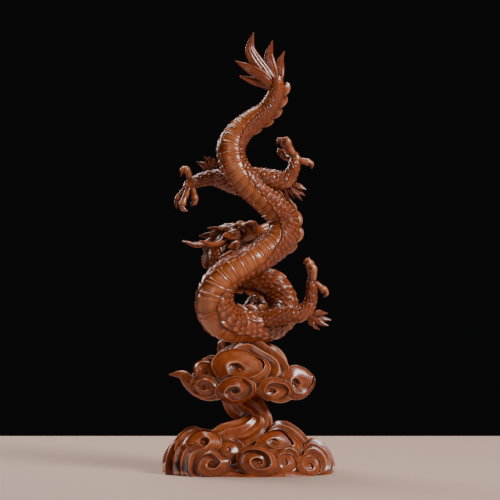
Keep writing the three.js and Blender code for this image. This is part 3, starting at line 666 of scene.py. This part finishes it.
def oval_lobe(place, out, radius, aspect=1, **options):
    """A lobe with an oval outline of that radius, aspect wide to high."""
    out = unit(np.array(out, float))
    right = unit(np.cross(UP, out))
    up = np.cross(out, right)
    turn = np.radians(np.arange(0, 360, 45))
    wide, high = radius * aspect**0.5 * np.cos(turn), radius / aspect**0.5 * np.sin(turn)
    outline = np.array(place) + np.outer(wide, right) + np.outer(high, up)
    options = {"dome": 0.2 * radius, "step": 0.14 * radius, "depth": 0.75 * radius, "columns": 56, **options}
    return lobe(outline, place, out, **options)


def mound():
    """The foot of the stand: low lumps set round with curls."""
    return [
        lump([0.5, -0.5, 2], [39.5, 25.5, 9]),
        lump([-18.5, 1, 5], [14.5, 17.5, 14]),
        lump([7, 4, 5], [23, 18, 17]),
        # upper left curl, with folds that run down to the left
        face_lobe([-19.6, 15], [[-13, 12], [-11.6, 16.4], [-15, 19.6], [-21, 20.6], [-27, 17.6],
                                [-30.4, 12.8], [-27.6, 9], [-19, 8.6]],
                  -19.5, (-0.25, -0.9, 0.5), dome=1.2, hand=-1, layers=2, fan=(-1, 0.2, 0), width=2.6, drop=1,
                  rise=0.8, wind=1.3),
        # front left pointed curl, with folds that fan out to the left
        face_lobe([-16.2, 5.7], [[-7.3, 6.5], [-11, 9.6], [-15.4, 12.4], [-20.4, 10.4], [-22.9, 6.1],
                                 [-22, 2.2], [-17.4, 0.4], [-11, 1.2]],
                  -25.4, (-0.05, -1, 0.2), dome=0.6, sink=1.4, step=2, layers=4, fan=(-1, 0, -0.15),
                  width=3.6, drop=1, rise=0.9, wind=1.35),
        # front middle curl
        face_lobe([5.4, 6.5], [[-4.8, 8.4], [-3, 12], [1.8, 14], [7.6, 13.4], [12, 10.4], [14.6, 5],
                               [12.2, 1.6], [6, 0], [0, 1.2], [-3.6, 4.4]],
                  -25.8, (0.05, -1, 0.2), turns=2.2, dome=0.8, sink=1.2, step=2.3, hand=-1, layers=2,
                  fan=(1, 0, -0.5), width=3.2, drop=1.6, columns=88, wind=1.25),
        # hooded upper right curl
        face_lobe([12.2, 14.4], [[4, 12.4], [5.6, 17], [10.8, 19.8], [16.4, 20], [21.6, 16.8], [25.4, 11.6],
                                 [21.6, 8.5], [12.7, 8]],
                  -17.6, (0.15, -0.9, 0.5), dome=1.6, sink=1, hand=-1, step=2, layers=2, fan=(0.8, 0.3, 0.5),
                  width=3.2, drop=1.3, rise=0.9, wind=1.5),
        face_lobe([16.6, 6.8], [[11.4, 4.4], [12.2, 9.2], [16.2, 11.4], [21, 10], [22.6, 5.4], [19.2, 1.6],
                                [14.4, 1]],
                  -24, (0.25, -1, 0.15), dome=0.6, step=1.1, layers=2, fan=(1, 0, 0.4), width=2, drop=1.2,
                  columns=56),
        # right end, with folds that fan out to the right
        face_lobe([28.4, 4.4], [[22.4, 3.6], [23, 8], [27.6, 10], [32, 8.2], [33.4, 4.4], [32, 0.6],
                                [26.6, -0.6]],
                  -20.4, (0.35, -1, 0.25), dome=0.6, step=1, layers=3, fan=(0.8, 0.2, 0.6), width=3, drop=1.1,
                  rise=0.9, columns=64),
        face_lobe([-9, 11.4], [[-13.8, 9], [-13, 13.6], [-9, 15.8], [-4.2, 14], [-3.4, 9], [-8.6, 6]],
                  -20.6, (0, -1, 0.5), dome=1.6, sink=0.4, step=0.8, layers=1, fan=(1, 0, 0.2), width=2.4,
                  drop=1.4, columns=56),
        # low folds along the bottom edge
        face_lobe([-8, 0], [[-26, -1], [-19, 1.2], [-8, 2.6], [2, 1.2], [9, -1], [-8, -4]], -26,
                  (-0.1, -1, 0.3), dome=1, sink=0, step=0.3, turns=1),
        face_lobe([17, 0], [[5, -1], [11, 1.4], [17, 2.8], [24, 1.8], [31, -1], [17, -4]], -24.6,
                  (0.2, -1, 0.3), dome=1, sink=0, step=0.3, turns=1),
        # round the sides and the back
        oval_lobe([35, -2, 4], (1, -0.2, 0.25), 9, aspect=1.5, layers=1, fan=(0, 0, 1)),
        oval_lobe([-34.4, -2, 5], (-1, -0.2, 0.25), 9.5, aspect=1.5, layers=1, fan=(0, 0, 1)),
        oval_lobe([-31, 12.5, 6], (-0.8, 0.7, 0.25), 9, aspect=1.4, hand=-1, layers=1),
        oval_lobe([-14, 22, 7.5], (-0.25, 1, 0.25), 9.5, aspect=1.35, layers=1),
        oval_lobe([8, 23.5, 7.5], (0, 1, 0.2), 10, aspect=1.35, hand=-1, turns=2.3, layers=1),
        oval_lobe([28.5, 15.5, 5.5], (0.7, 1, 0.25), 9, aspect=1.4, layers=1),
        oval_lobe([-1, 16.5, 14.6], (-0.1, 0.8, 0.7), 10, aspect=1.5, layers=1),
        oval_lobe([26, 4.5, 10.5], (1, 0.1, 0.6), 8.5, aspect=1.3, layers=1),
        oval_lobe([-29.2, 3, 10.5], (-1, 0.1, 0.6), 7.5, aspect=1.3, hand=-1, layers=1),
    ]


def cap():
    """The cloud under the dragon: a dome ringed with curls and a wisp that trails to the left."""
    wisp = sweep(
        [[-14, -4, 39.5], [-20.5, -4.5, 38.2], [-26, -4, 41.2], [-29.6, -3, 44.2], [-35.6, -2, 44.5]],
        [5, 4.6, 3.6, 2.2, 0.25], (0.4, 0, 0.9), 0.8,
        sides=40, rings=40, section=grooved(3, 0.16),
    )
    return [
        lump([-1, 0, 41], [24, 15, 7.6]),
        lump([0, 1.5, 47], [16.5, 12.5, 12.3]),
        # upper front curl, a broad shield
        face_lobe([-3.5, 47.2], [[-14.7, 46], [-16.2, 50], [-13.4, 54.2], [-6.5, 56.6], [-0.5, 55.9],
                                 [3.8, 53.6], [9.1, 51.2], [10.8, 47.5], [8.6, 44], [3.8, 41], [-4.8, 41],
                                 [-11.7, 42.4]],
                  -14.6, (0, -1, 0.4), turns=1.55, dome=1.8, sink=2, step=2.4, hand=-1, layers=2,
                  fan=(0.9, 0.1, 0.45), width=4.2, drop=1.7, rise=1, columns=104, wind=1.6),
        # lower front curl
        face_lobe([-5.2, 37.6], [[-10.8, 42.9], [-14, 38.9], [-13.4, 35.4], [-9.1, 32.8], [-5, 32],
                                 [0.4, 34.1], [3.9, 37.6], [3.4, 41.4], [-1.3, 44], [-6.5, 44.4]],
                  -19.6, (0, -1, -0.05), turns=1.9, dome=0.8, sink=2, step=2.5, columns=96, wind=1.35),
        # lower right curl
        face_lobe([11.2, 37.8], [[4.6, 37.1], [5.6, 41], [9.1, 43.8], [14.2, 43.6], [19.4, 41], [20.3, 37.1],
                                 [16.8, 34.4], [12.5, 33.4], [8.2, 33.9]],
                  -17, (0.2, -1, 0), turns=1.8, dome=0.8, sink=1.6, step=2.1, columns=80, wind=1.4),
        # right leaf
        face_lobe([22.4, 40.4], [[17, 39], [16.4, 45.6], [21.2, 49], [26.4, 47.7], [30.3, 43.8], [31, 40.3],
                                 [28.2, 36], [24.7, 33.8], [20, 34]],
                  -10.4, (0.35, -1, 0.2), turns=1.5, dome=1, sink=2, step=2.4, hand=-1, columns=80, wind=1.6),
        # small left curls
        face_lobe([-19.7, 39.3], [[-24.6, 41.4], [-20, 44.4], [-15.4, 43.4], [-12.8, 39.4], [-15.6, 35.8],
                                  [-20.4, 35.4], [-24, 38]],
                  -14, (-0.4, -1, 0), dome=0.8, step=1.2, layers=1, fan=(-1, 0, 0.2), width=1.6, drop=1.2,
                  columns=64),
        face_lobe([-19.6, 47], [[-23.6, 43.4], [-24.2, 48.6], [-20.4, 51.4], [-15.4, 50.4], [-13, 46],
                                [-12, 41.6], [-17.6, 41.4]],
                  -10.4, (-0.4, -1, 0.3), dome=1.2, step=1, layers=2, fan=(0.9, 0, 0.5), width=1.6, drop=1,
                  columns=64),
        # round the back and the sides
        oval_lobe([3, 12, 49.5], (0, 1, 0.4), 11, aspect=1.4, layers=1),
        oval_lobe([-3, 17, 38.5], (0, 1, -0.1), 7.5, aspect=1.3, hand=-1),
        oval_lobe([15.5, 11.5, 40], (0.6, 1, 0.1), 8, aspect=1.3, layers=1),
        oval_lobe([-17, 11, 40.5], (-0.5, 1, 0.1), 7.5, aspect=1.3, layers=1),
        oval_lobe([20.4, 2.5, 41.4], (1, 0.25, 0.1), 7, aspect=1.2, hand=-1),
        oval_lobe([14, 2, 50.2], (1, 0.1, 0.6), 8, aspect=1.3, layers=1),
        oval_lobe([-13.8, 2.5, 50.2], (-1, 0.1, 0.6), 8, aspect=1.3, hand=-1, layers=1),
        oval_lobe([-21, 1, 41.4], (-1, 0.2, 0.1), 7, aspect=1.2),
        wisp,
    ]


def stem():
    """The stem: a core with round strands laid side by side about it."""
    stations = [
        [-19, -15, 11, 4.5, 3],
        [-10, -13, 15, 7.5, 4.5],
        [0, -9, 18, 7.5, 6],
        [5, -5.5, 22.5, 6.6, 6],
        [2.5, -3, 27.5, 7, 6],
        [-2, -1.5, 31, 8.2, 6.5],
        [-3, -1, 37, 10, 8],
    ]
    t = np.linspace(0, 1, 60)
    value, slope = spline(stations, t)
    centre, size = value[:, :3], value[:, 3:]
    along = unit(slope[:, :3])
    deep = unit(np.array([0, 1, 0]) - along * along[:, 1:2])
    wide = np.cross(along, deep)
    turn = np.linspace(0, 2 * np.pi, 120, endpoint=False)[None]
    ribs = 5
    reach = 0.9 + 0.14 * (1 - np.abs(np.cos(ribs * turn))) ** 0.8
    grid = (
        centre[:, None]
        + wide[:, None] * (size[:, :1] * reach * np.cos(turn))[..., None]
        + deep[:, None] * (size[:, 1:] * reach * np.sin(turn))[..., None]
    )
    return [grid_shell(grid)]


# ---- from shells to one carved mesh ----
def raw_mesh(name, points, triangles):
    """A mesh of those triangles, put in as whole arrays."""
    mesh = bpy.data.meshes.new(name)
    mesh.vertices.add(len(points))
    mesh.vertices.foreach_set("co", np.asarray(points, np.float32).reshape(-1))
    mesh.loops.add(triangles.size)
    mesh.loops.foreach_set("vertex_index", triangles.astype(np.int32).reshape(-1))
    mesh.polygons.add(len(triangles))
    mesh.polygons.foreach_set("loop_start", np.arange(0, triangles.size, 3, dtype=np.int32))
    mesh.update(calc_edges=True)
    return mesh


def edges_of(triangles):
    """The edges of the triangles, each once, and how many triangles share each."""
    pairs = np.concatenate([triangles[:, [0, 1]], triangles[:, [1, 2]], triangles[:, [2, 0]]])
    return np.unique(np.sort(pairs, axis=1), axis=0, return_counts=True)


def joined(shells, cutters=()):
    """The one skin of closed shells that run into each other, less the cutters."""
    for n, (_, triangles) in enumerate([*shells, *cutters]):
        if (edges_of(triangles)[1] != 2).any():
            raise ValueError(f"shell {n} isn't closed")
    groups = []
    for operation, some in (("UNION", shells[1:]), ("DIFFERENCE", cutters)):
        group = bpy.data.collections.new(operation)
        bpy.context.scene.collection.children.link(group)
        for points, triangles in some:
            group.objects.link(bpy.data.objects.new("shell", raw_mesh("shell", points, triangles)))
        groups.append((operation, group))
    body = bpy.data.objects.new("joined", raw_mesh("joined", *shells[0]))
    bpy.context.scene.collection.objects.link(body)
    for operation, group in groups:
        if group.objects:
            cut = body.modifiers.new(operation, "BOOLEAN")
            cut.operation, cut.solver = operation, "MANIFOLD"
            cut.operand_type, cut.collection = "COLLECTION", group
    skin = body.evaluated_get(bpy.context.evaluated_depsgraph_get()).to_mesh()
    points = np.empty(3 * len(skin.vertices), np.float32)
    skin.vertices.foreach_get("co", points)
    skin.calc_loop_triangles()
    triangles = np.empty(3 * len(skin.loop_triangles), np.int32)
    skin.loop_triangles.foreach_get("vertices", triangles)
    for thing in [body, *(shell for _, group in groups for shell in group.objects)]:
        bpy.data.meshes.remove(thing.data)
    for _, group in groups:
        bpy.data.collections.remove(group)
    return points.reshape(-1, 3).astype(float), triangles.reshape(-1, 3)


def block(low, high):
    """A plain box between two corners."""
    corner = np.array([[0, 0], [1, 0], [1, 1], [0, 1]])
    rings = [np.column_stack([corner, np.full(4, level)]) for level in (0, 1)]
    low, high = np.array(low, float), np.array(high, float)
    return grid_shell(low + (high - low) * np.stack(rings))


def face_vectors(points, triangles):
    """Each triangle's normal, as long as its area: half the cross product of two of its sides."""
    a, b, c = (points[triangles[:, k]] for k in range(3))
    return np.cross(b - a, c - a) / 2


def point_normals(points, triangles):
    """Each point's normal: the sum of its triangles' normals, weighted by area, made one long."""
    faces = face_vectors(points, triangles)
    normals = np.zeros_like(points)
    for k in range(3):
        np.add.at(normals, triangles[:, k], faces)
    return normals / np.maximum(np.linalg.norm(normals, axis=1, keepdims=True), 1e-12)


def spread(values, edges, rounds):
    """values averaged with their neighbours along the edges, rounds times."""
    count = len(values)
    degree = 1 + np.bincount(edges.reshape(-1), minlength=count).astype(float)
    for _ in range(rounds):
        total = values.copy()
        for a, b in ((0, 1), (1, 0)):
            for k in range(values.shape[1]):
                total[:, k] += np.bincount(edges[:, a], values[edges[:, b], k], minlength=count)
        values = total / degree[:, None]
    return values


def hollowness(points, normals, edges):
    """How far each point lies in a hollow, from -1 on a sharp edge to 1 in a groove; the finish darkens
    grooves by it with wax and painted shade.

    It is the way in mm, along the normal, from the point to the mean of its surroundings, less the
    same for the surroundings.
    """
    total = 0
    for rounds, weight in ((3, 5.0), (12, 2.2)):
        rise = np.sum((spread(points, edges, rounds) - points) * normals, 1, keepdims=True)
        total = total + weight * (rise - spread(rise, edges, 3 * rounds))
    total = spread(total, edges, 1)[:, 0]
    return np.clip(total / max(2.5 * total.std(), 1e-6), -1, 1)


def shadedness(points, normals, triangles, cell=1.0, reach=2, off=1.6):
    """How closed in each point is, 0 in the open to 1 in a crevice; the finish paints shade by it.

    The skin's area is gathered in a grid of cells and summed over a cube about the place a little
    way off the point, then set against the area that a flat skin has there.
    """
    area = np.linalg.norm(face_vectors(points, triangles), axis=1)
    middles = points[triangles].mean(1)
    low = points.min(0) - cell * (reach + 3)
    shape = np.ceil((points.max(0) + cell * (reach + 3) - low) / cell).astype(int)
    index = ((middles - low) / cell).astype(int)
    flat = np.ravel_multi_index(index.T, shape)
    grid = np.bincount(flat, area, minlength=shape.prod()).reshape(shape)
    for axis in range(3):
        grid = sum(np.roll(grid, n, axis) for n in range(-reach, reach + 1))
    where = np.clip(((points + off * normals - low) / cell).astype(int), 0, shape - 1)
    flat_area = ((2 * reach + 1) * cell) ** 2
    return np.clip(grid[tuple(where.T)] / flat_area - 1.1, 0, 1.5) / 1.5


def uneven(points, amount):
    """A hand's unevenness: the sum of three slow waves across each direction, in mm."""
    wave = np.zeros_like(points)
    for period, turn in ((9.1, 0.3), (5.3, 1.9), (3.7, 4.1)):
        shifted = points[:, [1, 2, 0]] * 0.8 + points[:, [2, 0, 1]] * 0.6
        wave += period / 9 * np.sin(2 * np.pi * shifted / period + turn)
    return points + amount * wave


def within(points, others):
    """1 where a point is one of others, 0 elsewhere."""

    def keys(some):
        """One whole number for each point, from its coordinates in thousandths of a millimetre."""
        whole = np.round(some.astype(np.float32).astype(float) * 1e3).astype(np.int64) + 2**20
        return (whole[:, 0] << 42) + (whole[:, 1] << 21) + whole[:, 2]

    return np.isin(keys(points), keys(others)).astype(float)


def carve(name, shells, node, finish, floor=None, smooth=None):
    """One piece from closed shells that run into each other, riding on the frame in a node's place.

    It is cut flat below floor, and smooth is the one shell whose wood is smooth and bright. What is
    within 2 mm of the floor fades out of the unevenness and the hollows.
    """
    cutters = []
    if floor is not None:
        cutters.append(block([-100, -100, floor - 60], [100, 100, floor]))
    points, triangles = joined(shells, cutters)
    edges = edges_of(triangles)[0]
    bright = np.zeros((len(points), 1))
    if smooth is not None:
        bright = spread(within(points, smooth[0])[:, None], edges, 1)
    still = points[:, 2:] * 0 + (1 if floor is None else smoothstep(points[:, 2:], floor, floor + 2))
    points = points + (uneven(points, UNEVENNESS) - points) * still
    normals = point_normals(points, triangles)
    mesh = raw_mesh(name, points * MM, triangles)
    mesh.validate()
    mesh.shade_smooth()
    mesh.set_sharp_from_angle(angle=np.radians(SHARP_ANGLE))
    for key, values in (
        # hollow: grooves get wax and painted shade from it, sharp edges get paler wear
        ("hollow", hollowness(points, normals, edges) * still[:, 0]),
        # shade: how closed in each point is, painted on the wood as shade
        ("shade", shadedness(points, normals, triangles)),
        ("bright", bright[:, 0]),
    ):
        mesh.attributes.new(key, "FLOAT", "POINT").data.foreach_set("value", values.astype(np.float32))
    mesh.materials.append(finish)
    piece = bpy.data.objects.new(name, mesh)
    bpy.context.scene.collection.objects.link(piece)
    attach(piece, "root")
    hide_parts(node)
    return piece


# ---- finishes ----
def wood(name, colours):
    """Oiled and lacquered boxwood: long grain, wax and painted shade in hollows, paler worn edges and a soft
    clear coat.
    """
    finish = bpy.data.materials.new(name)
    finish.use_nodes = True
    nodes, links = finish.node_tree.nodes, finish.node_tree.links
    shader = nodes["Principled BSDF"]
    shader.inputs["Roughness"].default_value = 0.3
    shader.inputs["Coat Weight"].default_value = 0.35
    shader.inputs["Coat Roughness"].default_value = 0.16
    shader.inputs["Specular IOR Level"].default_value = 0.5

    def node(kind, **values):
        """A new node of that kind, with values for its sockets or, where it has none so named, itself."""
        made = nodes.new(kind)
        for key, value in values.items():
            if key in made.inputs:
                made.inputs[key].default_value = value
            else:
                setattr(made, key, value)
        return made

    def mix(factor, a, b):
        """The colour a turned into b by factor, each a value or a socket."""
        made = nodes.new("ShaderNodeMix")
        made.data_type = "RGBA"
        for socket, value in ((made.inputs["Factor"], factor), (made.inputs[6], a), (made.inputs[7], b)):
            if isinstance(value, bpy.types.NodeSocket):
                links.new(value, socket)
            else:
                socket.default_value = value
        return made.outputs[2]

    def ramp(source, low, high):
        """source brought from low ... high to 0 ... 1, and held there outside."""
        made = node("ShaderNodeMapRange")
        made.inputs["From Min"].default_value, made.inputs["From Max"].default_value = low, high
        links.new(source, made.inputs["Value"])
        return made.outputs["Result"]

    place = node("ShaderNodeTexCoord").outputs["Object"]
    stretch = node("ShaderNodeMapping", Scale=(1, 1, 0.12))
    links.new(place, stretch.inputs["Vector"])
    grain = node("ShaderNodeTexNoise", Scale=1100.0, Detail=5.0, Roughness=0.6)
    links.new(stretch.outputs["Vector"], grain.inputs["Vector"])
    cloudy = node("ShaderNodeTexNoise", Scale=70.0, Detail=3.0)
    links.new(place, cloudy.inputs["Vector"])
    fine = node("ShaderNodeTexNoise", Scale=1600.0, Detail=3.0)
    links.new(place, fine.inputs["Vector"])
    hollow = node("ShaderNodeAttribute", attribute_name="hollow").outputs["Fac"]
    bright = node("ShaderNodeAttribute", attribute_name="bright").outputs["Fac"]
    colour = mix(ramp(cloudy.outputs["Fac"], 0.35, 0.65), colours.body, colours.warm)
    colour = mix(bright, colour, colours.bright)
    colour = mix(ramp(grain.outputs["Fac"], 0.45, 0.75), colour, mix(0.5, colour, colours.pores_wax_and_painted_shade))
    shade = node("ShaderNodeAttribute", attribute_name="shade").outputs["Fac"]
    # Painted shade: the wood is darkened where the skin is closed in, in crevices and between parts.
    colour = mix(ramp(shade, 0.0, 1.9), colour, colours.pores_wax_and_painted_shade)
    # Grooves darkened: the wax held in them, and painted shade.
    colour = mix(ramp(hollow, 0.08, 1.0), colour, colours.pores_wax_and_painted_shade)
    colour = mix(ramp(hollow, -0.15, -1.2), colour, colours.worn)
    links.new(colour, shader.inputs["Base Color"])
    bump = node("ShaderNodeBump", Strength=0.25, Distance=0.0002)
    height = node("ShaderNodeMath", operation="ADD")
    links.new(grain.outputs["Fac"], height.inputs[0])
    links.new(fine.outputs["Fac"], height.inputs[1])
    links.new(height.outputs[0], bump.inputs["Height"])
    links.new(bump.outputs["Normal"], shader.inputs["Normal"])
    return finish


# ---- sizes and colours that a user would change ----
def in_mm(length):
    """A length in metres as millimetres of the drawing."""
    return length / MM


def length(name, description, millimetres):
    """A length that a user can set, its default given in millimetres of the drawing."""
    return bpy.props.FloatProperty(
        name=name, description=description, default=millimetres * MM, min=0, unit="LENGTH", precision=5
    )


def colour(name, description, value):
    """A colour that a user can set, its default given as red, green and blue."""
    return bpy.props.FloatVectorProperty(
        name=name, description=description, default=(*value, 1), size=4, min=0, max=1, subtype="COLOR"
    )


def power(name, description, watts):
    """A light's power that a user can set."""
    return bpy.props.FloatProperty(name=name, description=description, default=watts, min=0, unit="POWER")


class DragonSizes(bpy.types.PropertyGroup):
    scale_height: length("Scale height", "How far a scale's free end stands out", 0.75)
    plate_rib: length("Plate rib", "Height of the ribs across the belly plates", 0.45)
    crest_height: length("Crest height", "How far the scallops of the crest stand out", 3.1)
    crest_pitch: length("Crest pitch", "Length of one scallop of the crest", 6.0)
    belly_half_angle: bpy.props.FloatProperty(
        name="Belly half angle",
        description="Degrees of the body's round that the belly takes, each side",
        default=46, min=30, max=80,
    )


class WoodColours(bpy.types.PropertyGroup):
    body: colour("Body", "The wood in full", (0.2, 0.036, 0.009))
    warm: colour("Warm", "The wood's redder patches", (0.28, 0.056, 0.012))
    bright: colour("Bright", "The smooth belly", (0.33, 0.066, 0.007))
    # This colour serves the grain's pores, the wax in grooves, and painted shade in hollows and crevices.
    pores_wax_and_painted_shade: colour("Dark", "The wood in hollows and pores", (0.02, 0.004, 0.002))
    worn: colour("Worn", "The paler wood on worn edges", (0.5, 0.18, 0.08))


class StandColours(bpy.types.PropertyGroup):
    body: colour("Body", "The stand's wood in full", (0.26, 0.048, 0.011))
    warm: colour("Warm", "The stand's redder patches", (0.36, 0.08, 0.017))
    bright: colour("Bright", "Smooth wood, of which the stand has none", (0.33, 0.066, 0.007))
    # This colour serves the stand's grain pores, the wax in its grooves, and painted shade in its hollows and
    # crevices.
    pores_wax_and_painted_shade: colour("Dark", "The stand's wood in hollows and pores", (0.03, 0.006, 0.003))
    worn: colour("Worn", "The paler wood on the stand's worn edges", (0.78, 0.36, 0.2))


class StageSettings(bpy.types.PropertyGroup):
    floor: colour("Floor", "Colour of the floor", (0.49, 0.33, 0.26))
    surround: colour("Surround", "Colour of the light all round", (0.004, 0.004, 0.0045))
    key_power: power("Key light", "Power of the main light", 11.5)
    fill_power: power("Rim lights", "Power of the two lights behind", 5)
    front_power: power("Front light", "Power of the light in front", 0.8)


# ---- operators ----
class DRAGON_OT_dragon(bpy.types.Operator):
    """Carve the dragon: body, tail tuft, legs and head in one piece"""

    bl_idname = "dragon.add_dragon"
    bl_label = "Dragon"

    def execute(self, context):
        sizes = context.scene.dragon_sizes
        belly = body_belly(sizes)
        shells = [body_back(sizes), belly, *crest(sizes), *tail_tuft(), *legs(), *head()]
        finish = wood("lacquered_boxwood", context.scene.dragon_wood)
        carve("dragon_carving", shells, "dragon", finish, smooth=belly)
        return {"FINISHED"}


class DRAGON_OT_cloud_stand(bpy.types.Operator):
    """Carve the cloud stand: mound, stem and cap in one piece"""

    bl_idname = "dragon.add_cloud_stand"
    bl_label = "Cloud stand"

    def execute(self, context):
        shells = [*mound(), *stem(), *cap()]
        finish = wood("lacquered_boxwood_stand", context.scene.stand_wood)
        carve("cloud_stand_carving", shells, "cloud_stand", finish, floor=0.0)
        return {"FINISHED"}


METRE = 1000 * MM  # a metre of the drawing
FLOOR_SIDE, FLOOR_FRONT, FLOOR_BACK = 0.7 * METRE, -0.7 * METRE, 0.188 * METRE
CAMERA_PLACE = (1.4 * MM, -1000 * MM, 101.4 * MM)
PICTURE_WIDTH = 229.4 * MM  # how much the camera takes in, side to side, over the dragon
FILM_WIDTH = 36  # of the camera, in its own millimetres


def direction_angles(way):
    """The turn that points a light, which shines down its own -Z, along way."""
    return Vector(way).to_track_quat("-Z", "Y").to_euler()


class DRAGON_OT_stage(bpy.types.Operator):
    """Set out a plain floor, soft lights and the camera"""

    bl_idname = "dragon.add_stage"
    bl_label = "Stage"

    def execute(self, context):
        settings = context.scene.dragon_stage
        mesh = bpy.data.meshes.new("floor")
        left, right = -FLOOR_SIDE, FLOOR_SIDE
        corners = [(left, FLOOR_FRONT, 0), (right, FLOOR_FRONT, 0), (right, FLOOR_BACK, 0),
                   (left, FLOOR_BACK, 0)]
        mesh.from_pydata(corners, [], [(0, 1, 2, 3)])
        floor = bpy.data.objects.new("floor", mesh)
        paint = bpy.data.materials.new("floor_paint")
        paint.use_nodes = True
        shader = paint.node_tree.nodes["Principled BSDF"]
        shader.inputs["Base Color"].default_value = settings.floor
        shader.inputs["Roughness"].default_value = 0.8
        mesh.materials.append(paint)
        context.scene.collection.objects.link(floor)
        lights = (  # name, place in metres, side of the lamp, power, and the place it points at
            ("key_light", (0.68, -0.5, 0.64), 0.32, settings.key_power, (0, 0, 0.11)),
            ("top_light", (-0.1, 0.25, 0.75), 0.5, settings.fill_power, (0, 0, 0.1)),
            ("left_light", (-0.6, 0.6, 0.4), 0.35, settings.fill_power * 0.7, (0, 0, 0.12)),
            ("front_light", (-0.3, -0.9, 0.3), 0.3, settings.front_power, (0, 0, 0.01)),
        )
        for name, place, size, strength, aim in lights:
            lamp = bpy.data.lights.new(name, "AREA")
            lamp.size, lamp.energy = size * METRE, strength * METRE**2
            light = bpy.data.objects.new(name, lamp)
            place, aim = np.array(place) * METRE, np.array(aim) * METRE
            light.location = place
            light.rotation_euler = direction_angles(aim - place)
            context.scene.collection.objects.link(light)
        world = bpy.data.worlds.new("surround")
        world.use_nodes = True
        world.node_tree.nodes["Background"].inputs["Color"].default_value = settings.surround
        context.scene.world = world
        lens = bpy.data.cameras.new("camera")
        lens.sensor_width = FILM_WIDTH
        lens.lens = FILM_WIDTH * -CAMERA_PLACE[1] / PICTURE_WIDTH
        camera = bpy.data.objects.new("camera", lens)
        camera.location = CAMERA_PLACE
        camera.rotation_euler = (np.pi / 2, 0, 0)
        context.scene.collection.objects.link(camera)
        context.scene.camera = camera
        return {"FINISHED"}


class DRAGON_PT_panel(bpy.types.Panel):
    """Buttons that carve the dragon and its stand"""

    bl_label = "Dragon on a cloud stand"
    bl_space_type = "VIEW_3D"
    bl_region_type = "UI"
    bl_category = "Dragon"

    def draw(self, context):
        for name in SETTINGS:
            group = getattr(context.scene, name)
            column = self.layout.column()
            for key in group.bl_rna.properties.keys():
                if key not in {"rna_type", "name"}:
                    column.prop(group, key)
        for operator in OPERATORS:
            self.layout.operator(operator.bl_idname)


OPERATORS = (DRAGON_OT_stage, DRAGON_OT_dragon, DRAGON_OT_cloud_stand)
CLASSES = (DragonSizes, WoodColours, StandColours, StageSettings, *OPERATORS, DRAGON_PT_panel)
SETTINGS = {
    "dragon_sizes": DragonSizes,
    "dragon_wood": WoodColours,
    "stand_wood": StandColours,
    "dragon_stage": StageSettings,
}


def register():
    for made in CLASSES:
        bpy.utils.register_class(made)
    for name, group in SETTINGS.items():
        setattr(bpy.types.Scene, name, bpy.props.PointerProperty(type=group))


def unregister():
    for name in SETTINGS:
        delattr(bpy.types.Scene, name)
    for made in reversed(CLASSES):
        bpy.utils.unregister_class(made)


def main():
    register()
    bpy.ops.dragon.add_stage()
    bpy.ops.dragon.add_dragon()
    bpy.ops.dragon.add_cloud_stand()


if __name__ == "__main__":
    main()
